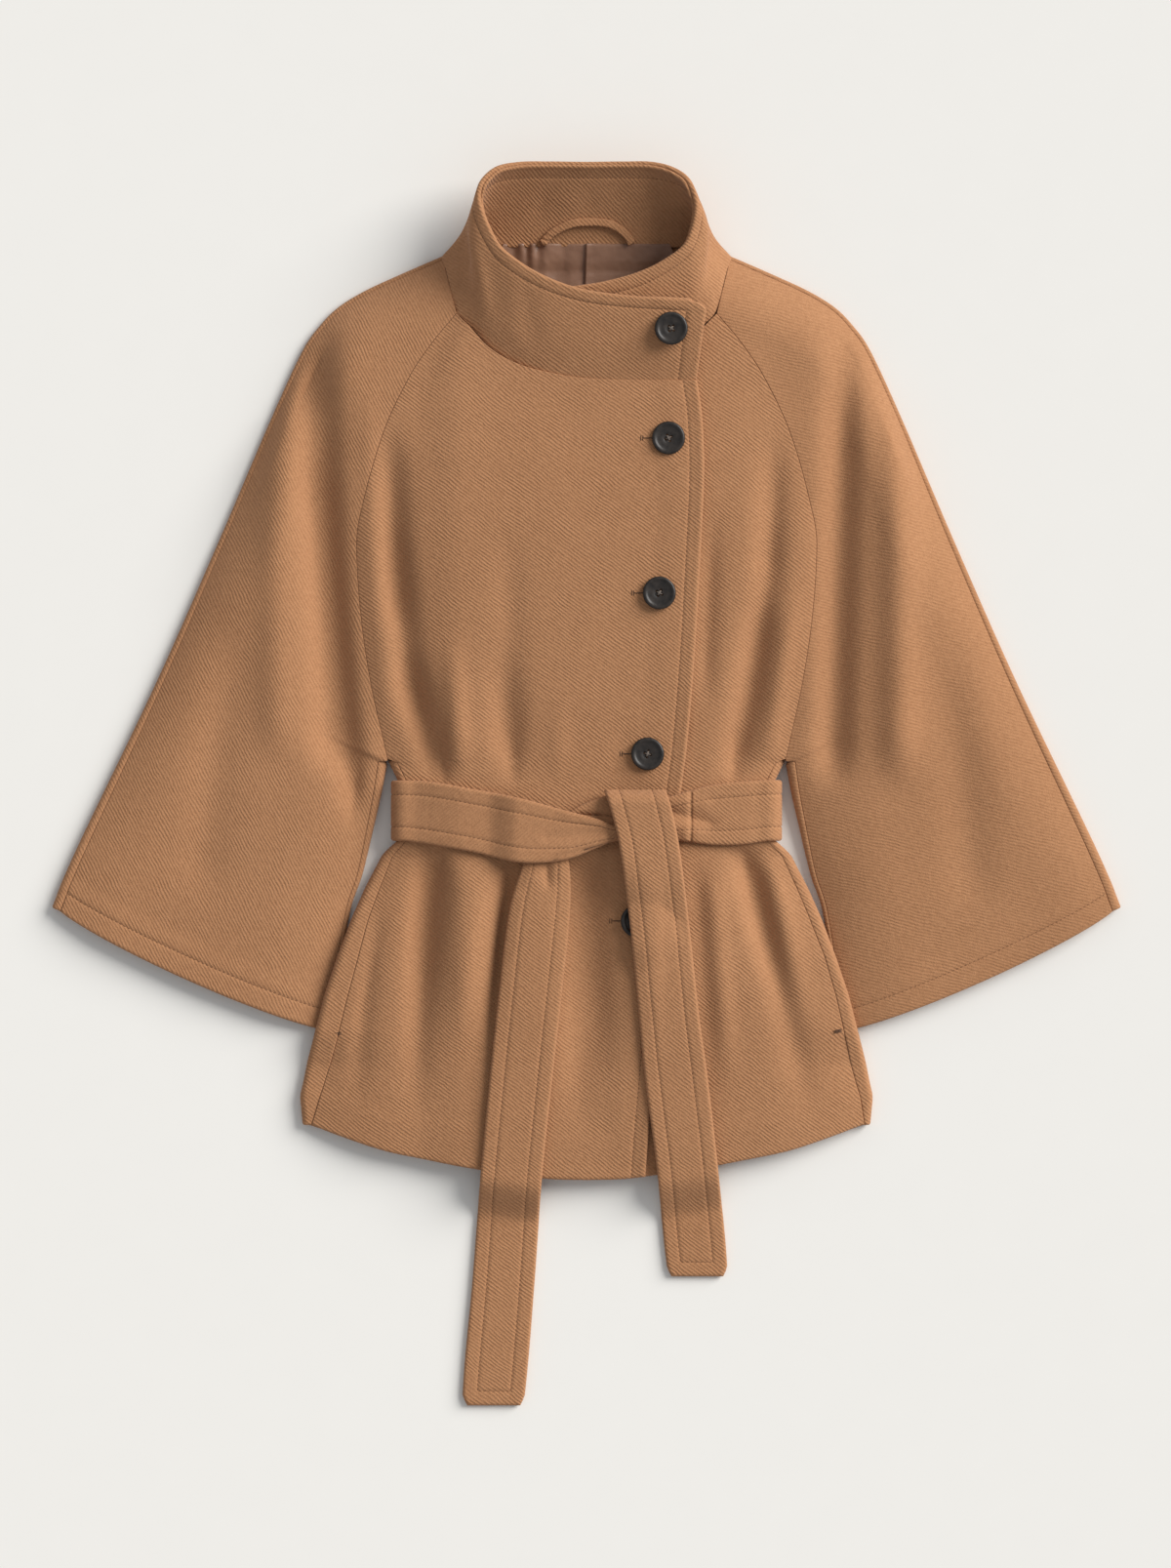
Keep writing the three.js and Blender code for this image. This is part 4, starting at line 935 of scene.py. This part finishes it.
def makeFacing():
    tall, length = collarSizes["tall"], collarSizes["length"]
    fromFront = stops(length, seamStops, seamStops, 2.6)
    low = collarSizes["facingFoot"] * tall
    rimStops = [0, 0.5, 1.2, 2.4, 7.6, 8.3, 8.8, 9.3, 10, 12]
    upMm = low + stops(tall - 1.9 - low, foldStops, rimStops, 2.8)
    around, up = collarGrid(fromFront, upMm)
    depth = collarSizes["facingMid"] + smooth(1 - (upMm[-1] - upMm) / 3)
    mid, normal, upward = collarLayer(around, up, depth)
    roll = rimRoll(mid[-1], -normal[-1], upward, collarSizes["lip"] - 0.8, 6)
    down = [roll[-1] - upward * k for k in (0.5, 0.9, 1.3)]
    mid = np.concatenate([mid, np.array(roll + down)])
    fromFoot = np.concatenate([upMm - upMm[0], np.full(9, 60.0)])[:, None]
    tuck = np.concatenate([np.full(len(upMm) + 6, 9.0), [0.8, 0.4, 0.0]])[:, None]
    fromRim = np.concatenate([tall - upMm, np.zeros(9)])[:, None]
    fromFront = fromFront[None, :]
    half = 1.0 * rounded(fromFoot, 1.2) * rounded(tuck, 0.9) * rounded(fromFront, 1.2)
    half = half * rounded(length - fromFront, 1.2)
    half = half - 0.4 * dip(fromRim, collarSizes["insideStitch"]) * smooth(half / 0.8)
    piece, _ = clothShell("collarFacing", mid, half, facingWool)
    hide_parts("collar_facing")
    normals = gridNormals(mid)
    middle = mid.shape[1] // 2
    side = 1 if normals[8, middle, 2] > 0 else -1
    inner = mid + side * normals * half[..., None]
    row = int(np.argmin(np.abs(fromRim[:, 0] - collarSizes["insideStitch"])))
    stitchRuns.append(inner[row, 4:-4])
    return piece, inner


collarOuter = makeCollar()
collarFacing, facingGrid = makeFacing()
print("collar made")


# lining inside the neck

liningSizes = {
    "y": [417, 403, 396, 340, 296],
    "half": [64, 70, 72, 86, 96],
    "z": [7.2, 5, 3.1, 2.8, 2.8],
    "wall": 1.0,
    "pleatDepth": 3.2,
    "pleatAt": -0.6,
}


def makeLining():
    y = np.linspace(liningSizes["y"][0], liningSizes["y"][-1], 70)
    half = along(liningSizes, "y", y, "half")
    z0 = level(liningSizes, "y", y, "z")
    q = np.linspace(-1, 1, 280)[None, :]
    x = half[:, None] * q
    rows = np.broadcast_to(y[:, None], x.shape)
    down = liningSizes["y"][0] - rows
    pleatAt = liningSizes["pleatAt"] - down * 0.03
    pleat = smooth((x - pleatAt) / 0.9) * np.exp(-np.maximum(x - pleatAt, 0) / 9)
    gather = np.sin(x / 2.3 + 2.2 * np.sin(x / 7)) * np.exp(-down / 11) * smooth((-14 - x) / 10)
    lean = np.sin((x + down * 0.35) / 6.5) * np.exp(-(((down - 14) / 16) ** 2)) * smooth((-8 - x) / 12)
    z = z0[:, None] + liningSizes["wall"] + 0.9 + liningSizes["pleatDepth"] * 0.8 * pleat
    z = z + 1.4 * gather + 1.2 * lean
    mid = np.stack([x, rows, z], axis=2)
    piece, _ = clothShell("neckLining", mid, np.full(x.shape, 0.4), satin)
    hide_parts("lining")
    return piece


neckLining = makeLining()

loopSizes = {
    "x": [-34, -26, -12, 3, 18, 29, 35],
    "y": [417, 425, 431.5, 433, 431.5, 425, 417],
    "width": 6.4,
    "half": 1.2,
    "gather": 0.5,
}


def makeHangerLoop():
    points = np.stack([loopSizes["x"], loopSizes["y"], np.zeros(7)], axis=1).astype(float)
    path, runLength = splineThrough(points, 90)
    back = facingGrid.reshape(-1, 3)
    back = back[back[:, 1] > 411]
    away = np.linalg.norm(path[:, None, :2] - back[None, :, :2], axis=2)
    path[:, 2] = back[away.argmin(axis=1), 2]
    path[:, 2] = np.convolve(np.pad(path[:, 2], 6, mode="edge"), np.full(13, 1 / 13), mode="valid")
    path[:, 2] += 0.9 + loopSizes["half"]
    run = np.gradient(path, axis=0)
    run /= np.linalg.norm(run, axis=1, keepdims=True)
    side = np.stack([-run[:, 1], run[:, 0], np.zeros(len(run))], axis=1)
    a = np.array([0, 0.15, 0.5, 1.1, 2, 3.2, 4.4, 5.3, 5.9, 6.25, 6.4]) - loopSizes["width"] / 2
    mid = path[:, None] + side[:, None] * a[None, :, None]
    bunched = np.exp(-runLength / 9)[:, None]
    mid[..., 2] += loopSizes["gather"] * bunched * np.sin(runLength[:, None] / 0.7 + a[None, :] * 0.8)
    rim = rounded(loopSizes["width"] / 2 - np.abs(a), 1.2)[None, :]
    half = loopSizes["half"] * rim * np.ones((len(path), 1))
    piece, _ = clothShell("hangerLoop", mid, half, facingWool)
    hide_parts("hanger_loop")
    return piece


makeHangerLoop()
print("neck made")


# belt

beltSizes = {
    "gap": 0.5,
    "stitch": 11,
    "half": 2.3,
    "width": 47.0,  # of the strip laid flat
    "layer": 6.3,  # rise of the left band over the tail and the knot
    "knotRise": 13.5,
}
leftBand = {
    "x": [-139.5, -120, -85.5, -51, -16.5, 8.8, 20, 36],
    "top": [3.6, 2.7, -3.3, -10, -19.4, -26.1, -30.5, -32],
    "bottom": [-43, -45.8, -52, -59.5, -57.5, -47.9, -43.5, -42],
}
rightBand = {
    "x": [139.5, 119, 96, 77, 60, 37],
    "top": [3.9, 2.7, 0, -5, -10, -16],
    "bottom": [-43, -45.8, -46, -43.5, -42, -42],
}
knotStrip = {
    "x": [36.5, 18, 9, -2, -14],
    "top": [-14, -8, -10, -14.5, -21],
    "bottom": [-41, -39, -37, -34, -31],
}
leftTail = {
    "y": [-46, -62.5, -95, -157, -221.6, -300, -383, -470, -478.5],
    "left": [-44, -49.5, -59, -67, -74, -81.5, -88, -95.5, -92],
    "right": [-17, -13, -12.5, -18.5, -25.7, -34, -40, -47.5, -51],
}
rightTail = {
    "y": [-4.5, -17, -44.6, -104, -180, -221, -295, -371, -379],
    "left": [13.5, 17.9, 24.8, 32.9, 40.5, 44.3, 54, 62, 65.5],
    "right": [61, 65, 70.7, 78.5, 86.8, 92.6, 101.2, 108.5, 105.5],
}
widthStops = foldStops + stitchStops


def stripAcross(width):  # positions across a strip that may be gathered narrower than it is flat
    flat = spread(np.full(len(width), beltSizes["width"]), widthStops, widthStops, 8)
    return flat * (np.asarray(width) / beltSizes["width"])[:, None], flat


def beltShell(name, mid, fromSides, fromEnds, node, material, flatSides=None):
    flatSides = fromSides if flatSides is None else flatSides
    half = beltSizes["half"] * rounded(fromSides, 2.2) * rounded(fromEnds, 2.2)
    half = half - 0.5 * dip(np.minimum(flatSides, fromEnds), beltSizes["stitch"]) * smooth(half / 1.0)
    piece, top = clothShell(name, mid, half, material)
    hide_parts(node)
    return piece, top


def pleatFan(x, y, pleats):  # small folds on the belt
    return foldLines(x, y, pleats, lambda y1: (8, 0.5, 12, 0))


leftPleats = [
    (-52, -60, 24, -38, 0.9, 4),
    (-28, -58, 30, -39, -1.3, 2.4),
    (-20, -22, 34, -34, 0.9, 3),
    (-34, -40, 30, -36, -0.8, 4),
]
rightPleats = [
    (60, -20, 104, -31, -2.0, 4.5),
    (60, -29, 96, -40, 1.2, 4.5),
    (60, -13, 100, -14, 1.2, 4.5),
    (60, -36, 84, -46, -1.2, 3),
]
knotPleats = [
    (-6, -22, 36, -25, -1.6, 1.8),
    (-10, -19, 36, -19, 1.0, 3.5),
    (-8, -28, 36, -32, 1.0, 3),
]
tailPleats = [
    (-31, -56, -29, -84, -2.6, 3.6),
    (-41, -56, -44, -82, 1.0, 4),
    (-20, -56, -18, -80, 0.9, 4),
]


def makeBand(name, side, table, topAt, pleats, node, material):
    edge = sideRows["edge"][2] - sideRows["radius"][2]
    centreZ = sideRows["lift"][2] + sideRows["radius"][2]
    x0, x1 = table["x"][-1], table["x"][0]
    x = np.linspace(x0, x1, int(abs(x1 - x0) / 1.6))
    top, bottom = along(table, "x", x, "top"), along(table, "x", x, "bottom")
    across, flat = stripAcross(top - bottom)
    y = top[:, None] - across
    xs = np.broadcast_to(x[:, None], y.shape)
    sideTop = sideRows["lift"][2] + 2 * sideRows["radius"][2]
    near = smooth((np.abs(xs) - (abs(table["x"][0]) - 4) + 12) / 12)
    base = topAt(xs, y)
    z = base + (sideTop - base) * near + beltSizes["gap"] + beltSizes["half"]
    z = z + pleatFan(xs, y, pleats) + 0.5 * unevenAt(xs, y)
    turn = np.linspace(math.pi / 2, -math.pi / 2, 22)[1:]
    reach = sideRows["radius"][2] + beltSizes["gap"] + beltSizes["half"]
    wrapX = side * (edge + reach * np.cos(turn))
    wrapZ = centreZ + reach * np.sin(turn)
    wrapX, wrapZ = np.append(wrapX, side * (edge - 4)), np.append(wrapZ, wrapZ[-1])
    rows = len(wrapX)
    xs = np.concatenate([xs, np.broadcast_to(wrapX[:, None], (rows, y.shape[1]))])
    z = np.concatenate([z, np.broadcast_to(wrapZ[:, None], (rows, y.shape[1]))])
    y = np.concatenate([y, np.broadcast_to(y[-1:], (rows, y.shape[1]))])
    width = np.append(top - bottom, np.full(rows, (top - bottom)[-1]))[:, None]
    across = np.concatenate([across, np.broadcast_to(across[-1:], (rows, y.shape[1]))])
    flat = np.concatenate([flat, np.broadcast_to(flat[-1:], (rows, y.shape[1]))])
    fromSides = np.minimum(across, width - across)
    flatSides = np.minimum(flat, beltSizes["width"] - flat)
    mid = np.stack([xs, y, z], axis=2)
    piece, outer = beltShell(name, mid, fromSides, 60.0, node, material, flatSides)
    first = int(np.argmin(np.abs(flat[0] - beltSizes["stitch"])))
    stitchRuns.append(outer[: len(x) + 9, first])
    stitchRuns.append(outer[: len(x) + 9, -1 - first])
    return piece


def leftStack(x, y):  # the left half of the belt lies over the left tail and the knot
    return overTop(x, y, 0) + beltSizes["layer"] * smooth((x + 76) / 24)


def rightStack(x, y):
    return np.where(x > 78, bodyTop(x, y, 0), overTop(np.minimum(x, 70), y, 0))


def tailStack(x, y):
    return np.maximum(bodyTop(x, y), overTop(np.minimum(x, 60), y))


def hemDrop(x, y):  # 1 on the coat, 0 once the tail lies on the floor
    hem = along(hemLine, "x", np.abs(x), "y")
    return 1 - smooth((hem - 3 - y) / 34), hem


def makeTail(name, table, topAt, raiseAt, node):
    y0, y1 = table["y"][0], table["y"][-1]
    down = stops(y0 - y1, foldStops, widthStops, 3.0)
    rowY = y0 - down
    left, right = along(table, "y", rowY, "left"), along(table, "y", rowY, "right")
    across, flat = stripAcross(right - left)
    x = left[:, None] + across
    y = np.broadcast_to(rowY[:, None], x.shape)
    share, hem = hemDrop(x, y)
    onCoat = topAt(x, np.maximum(y, hem + 1)) + beltSizes["gap"] + 0.5 + raiseAt(x, y)
    z = onCoat * share + beltSizes["half"] + pleatFan(x, y, tailPleats) + 0.4 * unevenAt(x, y)
    fromSides = np.minimum(across, (right - left)[:, None] - across)
    flatSides = np.minimum(flat, beltSizes["width"] - flat)
    fromEnd = (rowY - y1)[:, None]
    mid = np.stack([x, y, z], axis=2)
    piece, outer = beltShell(name, mid, fromSides, fromEnd, node, beltWool, flatSides)
    first = int(np.argmin(np.abs(flat[0] - beltSizes["stitch"])))
    end = int(np.argmin(np.abs(fromEnd[:, 0] - beltSizes["stitch"])))
    stitchRuns.append(outer[: end + 1, first])
    stitchRuns.append(outer[: end + 1, -1 - first])
    stitchRuns.append(outer[end, first : len(flat[0]) - first])
    return piece


leftBandPiece = makeBand("leftBand", -1, leftBand, leftStack, leftPleats, "belt_left_band", bandWool)
rightBandPiece = makeBand("rightBand", 1, rightBand, rightStack, rightPleats, "belt_right_band", beltWool)
buttonPlaces = [(64.7, 349), (62.8, 265.9), (55.8, 147.2), (46.9, 23.9), (38.9, -104.4)]


tailOverButton = {"rise": 5.3, "flat": 16, "fall": 26}


def overButton(x, y):  # how the right tail lifts over the fifth button
    bx, by = buttonPlaces[4]
    away = np.hypot(x - bx, y - by) - tailOverButton["flat"]
    return tailOverButton["rise"] * (1 - smooth(away / tailOverButton["fall"]))


def overKnot(x, y):  # and over the knot
    return beltSizes["knotRise"] * smooth((y + 122) / 74) * (1 - 0.75 * smooth((y + 12) / 8))


def leftTailStack(x, y):  # it bridges the valleys of the coat
    return 0.35 * overTop(x, y) + 0.65 * (overTop(x, y, 0) + 0.6)


leftTailPiece = makeTail("leftTail", leftTail, leftTailStack, lambda x, y: 0 * x, "belt_left_tail")
rightTailPiece = makeTail(
    "rightTail",
    rightTail,
    tailStack,
    lambda x, y: np.maximum(overButton(x, y), overKnot(x, y)),
    "belt_right_tail",
)


def makeKnot():
    x = np.linspace(knotStrip["x"][0], knotStrip["x"][-1], 44)
    top, bottom = along(knotStrip, "x", x, "top"), along(knotStrip, "x", x, "bottom")
    across, flat = stripAcross(top - bottom)
    y = top[:, None] - across
    xs = np.broadcast_to(x[:, None], y.shape)
    z = rightStack(xs, y) + 2 * beltSizes["gap"] + beltSizes["half"] + pleatFan(xs, y, knotPleats)
    fromSides = np.minimum(across, (top - bottom)[:, None] - across)
    mid = np.stack([xs, y, z], axis=2)
    return beltShell("knotStrip", mid, fromSides, 60.0, "belt_knot", beltWool)[0]


knotPiece = makeKnot()


def makeBeltBack():
    x = np.linspace(-135.2, 135.2, 60)
    across = spread(np.full(60, 46.2), widthStops, widthStops, 8)
    y = 3.6 - across
    xs = np.broadcast_to(x[:, None], y.shape)
    mid = np.stack([xs, y, np.full(y.shape, 2.3)], axis=2)
    fromSides = np.minimum(across, 46.2 - across)
    return beltShell("beltBack", mid, fromSides, 60.0, "belt_back", bandWool)[0]


beltBack = makeBeltBack()
print("belt made")


# buttons

buttonSizes = {"across": 25.4, "thick": 3.6, "holeRadius": 1.1, "holeFrom": 1.75}


def buttonMesh():
    radius = buttonSizes["across"] / 2
    thick = buttonSizes["thick"]
    outline = [
        (0, 0), (radius - 2.5, 0), (radius - 0.9, 0.5), (radius - 0.15, 1.3), (radius, 2.0),
        (radius - 0.25, 2.9), (radius - 0.9, 3.45), (radius - 1.7, thick), (radius - 2.7, 3.4),
        (radius - 3.3, 2.9), (radius - 4.2, 2.6), (radius - 6.2, 2.45), (4.6, 2.4), (4.0, 2.15),
        (3.2, 2.0), (0, 1.95),
    ]
    work = bmesh.new()
    verts = [work.verts.new((r * mm, 0, z * mm)) for r, z in outline]
    edges = [work.edges.new(pair) for pair in zip(verts, verts[1:])]
    bmesh.ops.spin(work, geom=verts + edges, cent=(0, 0, 0), axis=(0, 0, 1), angle=2 * math.pi, steps=56)
    bmesh.ops.remove_doubles(work, verts=work.verts, dist=1e-6)
    bmesh.ops.recalc_face_normals(work, faces=work.faces)
    mesh = bpy.data.meshes.new("buttonDisc")
    work.to_mesh(mesh)
    work.free()
    disc = bpy.data.objects.new("buttonDisc", mesh)
    bpy.context.scene.collection.objects.link(disc)
    work = bmesh.new()
    for k in range(4):
        angle = math.pi / 4 + k * math.pi / 2
        reach = buttonSizes["holeFrom"] * 1.25 * mm
        made = bmesh.ops.create_cone(
            work, cap_ends=True, segments=16, depth=12 * mm,
            radius1=buttonSizes["holeRadius"] * mm, radius2=buttonSizes["holeRadius"] * mm,
        )
        shift = (reach * math.cos(angle), reach * math.sin(angle), 0)
        bmesh.ops.translate(work, verts=made["verts"], vec=shift)
    holes = bpy.data.meshes.new("buttonHoles")
    work.to_mesh(holes)
    work.free()
    drill = bpy.data.objects.new("buttonHoles", holes)
    bpy.context.scene.collection.objects.link(drill)
    cut = disc.modifiers.new("holes", "BOOLEAN")
    cut.operation, cut.solver, cut.object = "DIFFERENCE", "EXACT", drill
    bpy.context.view_layer.update()
    done = bpy.data.meshes.new_from_object(disc.evaluated_get(bpy.context.evaluated_depsgraph_get()))
    bpy.data.objects.remove(disc)
    bpy.data.objects.remove(drill)
    for polygon in done.polygons:
        polygon.use_smooth = True
    return done


def rodBetween(points, radius, sides=6):  # a thin thread along a few points, as arrays
    points = np.asarray(points, float)
    run = np.gradient(points, axis=0)
    run /= np.linalg.norm(run, axis=1, keepdims=True)
    first = np.cross(run, (0.3, 0.2, 1.0))
    first /= np.linalg.norm(first, axis=1, keepdims=True)
    second = np.cross(run, first)
    angle = np.linspace(0, 2 * math.pi, sides, endpoint=False)
    ring = first[:, None] * np.cos(angle)[None, :, None] + second[:, None] * np.sin(angle)[None, :, None]
    width = radius * np.ones(len(points))
    width[0] = width[-1] = radius * 0.35
    verts = (points[:, None] + ring * width[:, None, None]).reshape(-1, 3)
    faces = []
    for i in range(len(points) - 1):
        for k in range(sides):
            a, b = i * sides + k, i * sides + (k + 1) % sides
            faces.append((a, b, b + sides, a + sides))
    ends = [list(range(sides))[::-1], [(len(points) - 1) * sides + k for k in range(sides)]]
    for loop in ends:
        for k in range(1, sides - 1):
            faces.append((loop[0], loop[k], loop[k + 1], loop[k + 1]))
    return verts, faces


def joinRods(name, rods, material):
    verts, faces, start = [], [], 0
    for points, loops in rods:
        verts.append(points)
        faces += [tuple(i + start for i in face) for face in loops]
        start += len(points)
    points = np.concatenate(verts) * mm
    mesh = bpy.data.meshes.new(name)
    mesh.from_pydata(points.tolist(), [], [face[:3] if face[2] == face[3] else face for face in faces])
    for polygon in mesh.polygons:
        polygon.use_smooth = True
    piece = bpy.data.objects.new(name, mesh)
    bpy.context.scene.collection.objects.link(piece)
    mesh.materials.append(material)
    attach(piece, "root")
    return piece


buttonShape = buttonMesh()
threads = []
for i, (x, y) in enumerate(buttonPlaces):
    low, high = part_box(f"button_{i + 1}")
    button = bpy.data.objects.new(f"button{i + 1}", buttonShape.copy())
    bpy.context.scene.collection.objects.link(button)
    button.data.materials.clear()
    button.data.materials.append(horn)
    angle = (0.1, -0.35, 0.25, 0.5, 0.0)[i]
    spin = np.array([[math.cos(angle), -math.sin(angle)], [math.sin(angle), math.cos(angle)]])
    coords = np.array([v.co for v in button.data.vertices])
    coords[:, :2] = coords[:, :2] @ spin.T
    coords += (x * mm, y * mm, low.z)
    button.data.vertices.foreach_set("co", coords.astype(np.float32).ravel())
    button.data.update()
    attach(button, "root")
    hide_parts(f"button_{i + 1}")
    reach = buttonSizes["holeFrom"] * 1.25
    turns = np.arange(4) * math.pi / 2 + math.pi / 4
    holes = [spin @ (reach * np.array([math.cos(a), math.sin(a)])) for a in turns]
    z0 = low.z / mm + 2.0
    for a, b in ((0, 2), (1, 3)):
        for shift in (-0.45, 0, 0.45):
            p, q = holes[a], holes[b]
            along01 = np.array([0, 0.08, 0.5, 0.92, 1])[:, None]
            flat = p + (q - p) * along01 + (x + shift, y)
            height = z0 + np.array([-1.2, 0.45, 0.75, 0.45, -1.2])[:, None]
            threads.append(rodBetween(np.concatenate([flat, height], axis=1), 0.3))
joinRods("buttonThreads", threads, buttonThread)

holeSizes = {"slit": 7.5, "slitRadius": 0.45, "tack": 4.4, "tackRadius": 0.3}
marks = []


def markLine(x0, y0, x1, y1, radius):  # one thin dark line lying on the front: a tack's thread, or the painted shade in a buttonhole slit
    x, y = np.linspace(x0, x1, 5), np.linspace(y0, y1, 5)
    marks.append(rodBetween(np.stack([x, y, overTop(x, y) + 0.1], axis=1), radius, 5))


# buttonholes: each slit is a dark line of painted shade in the cut, with thread tacks at its outer end
for x, y in buttonPlaces[1:]:
    start = x - buttonSizes["across"] / 2 + 1
    end = start - holeSizes["slit"]
    markLine(start, y, end, y, holeSizes["slitRadius"])
    for shift in (0.4, 2.0):
        tall = holeSizes["tack"] / 2
        markLine(end - shift, y - tall, end - shift + 0.2, y + tall, holeSizes["tackRadius"])
for x, y in ((-192, -191.6), (193.4, -189.3)):  # where the side pockets end
    for shift in (-0.9, 0, 0.9):
        markLine(x - 3.4, y + shift - 0.6, x + 3.4, y + shift + 0.6, holeSizes["tackRadius"])
joinRods("tacksAndSlitShade", marks, tackThreadAndSlitShade)
print("buttons made")


# topstitching

stitchSizes = {"length": 2.5, "pitch": 3.5, "radius": 0.22}


def stitchAlong(points):
    run = np.concatenate([[0], np.cumsum(np.linalg.norm(np.diff(points, axis=0), axis=1))])
    count = int(run[-1] / stitchSizes["pitch"])
    rods = []
    for k in range(count):
        at = (k + 0.5) * run[-1] / count + np.array([-0.5, -0.2, 0.2, 0.5]) * stitchSizes["length"]
        line = np.stack([np.interp(at, run, points[:, axis]) for axis in range(3)], axis=1)
        line[:, 2] += (-0.1, 0.12, 0.12, -0.1)
        rods.append(rodBetween(line, stitchSizes["radius"], 5))
    return rods


allStitches = []
for run in stitchRuns:
    allStitches += stitchAlong(run)
joinRods("topstitching", allStitches, seamThread)
print("topstitching made:", len(allStitches), "stitches")


# floor, light and camera

studio = {
    "floor": (0.86, 0.84, 0.80, 1),
    "world": (0.93, 0.96, 1.0, 1),
    "worldStrength": 0.43,
    "sunStrength": 3.9,
    "sunSize": 38,
    "sunFrom": (1.0, 0.62, 0.66),
    "cameraHeight": 5.02,
    "cameraX": -0.75,
    "cameraY": 0.8,
    "pictureTall": 1607 * 0.75,  # what the picture spans at the scale height
    "scaleHeight": 0.02,
}

floorMesh = bpy.data.meshes.new("paleFloor")
floorCorners = [(-4, -4, -0.0004), (4, -4, -0.0004), (4, 4, -0.0004), (-4, 4, -0.0004)]
floorMesh.from_pydata(floorCorners, [], [(0, 1, 2, 3)])
floor = bpy.data.objects.new("paleFloor", floorMesh)
bpy.context.scene.collection.objects.link(floor)
paper = Shader("palePaper")
grain = paper.noise(paper.node("TexCoord")("Object"), 30, 2.0)
dimmer = tuple(0.985 * channel for channel in studio["floor"][:3]) + (1,)
paperColour = paper.blend(grain, dimmer, studio["floor"])
floor.data.materials.append(paper.surface(paperColour, None, {"Roughness": 0.9}))

world = bpy.data.worlds.new("softStudio")
bpy.context.scene.world = world
world.use_nodes = True
world.node_tree.nodes["Background"].inputs[0].default_value = studio["world"]
world.node_tree.nodes["Background"].inputs[1].default_value = studio["worldStrength"]

sunData = bpy.data.lights.new("softSun", "SUN")
sunData.energy = studio["sunStrength"]
sunData.angle = math.radians(studio["sunSize"])
sunData.color = (1.0, 0.985, 0.96)
sun = bpy.data.objects.new("softSun", sunData)
direction = np.array(studio["sunFrom"])
sun.rotation_mode = "QUATERNION"
sun.rotation_quaternion = Vector(direction).to_track_quat("Z", "Y")
sun.location = Vector(direction) * 2
bpy.context.scene.collection.objects.link(sun)

cameraData = bpy.data.cameras.new("overheadCamera")
cameraData.sensor_width = 36
pictureTall = studio["pictureTall"] * mm
cameraData.lens = 36 / (pictureTall / (studio["cameraHeight"] - studio["scaleHeight"]))
camera = bpy.data.objects.new("overheadCamera", cameraData)
camera.location = (studio["cameraX"] * mm, studio["cameraY"] * mm, studio["cameraHeight"])
bpy.context.scene.collection.objects.link(camera)
bpy.context.scene.camera = camera
bpy.context.scene.view_settings.view_transform = "Standard"

print("scene ready")
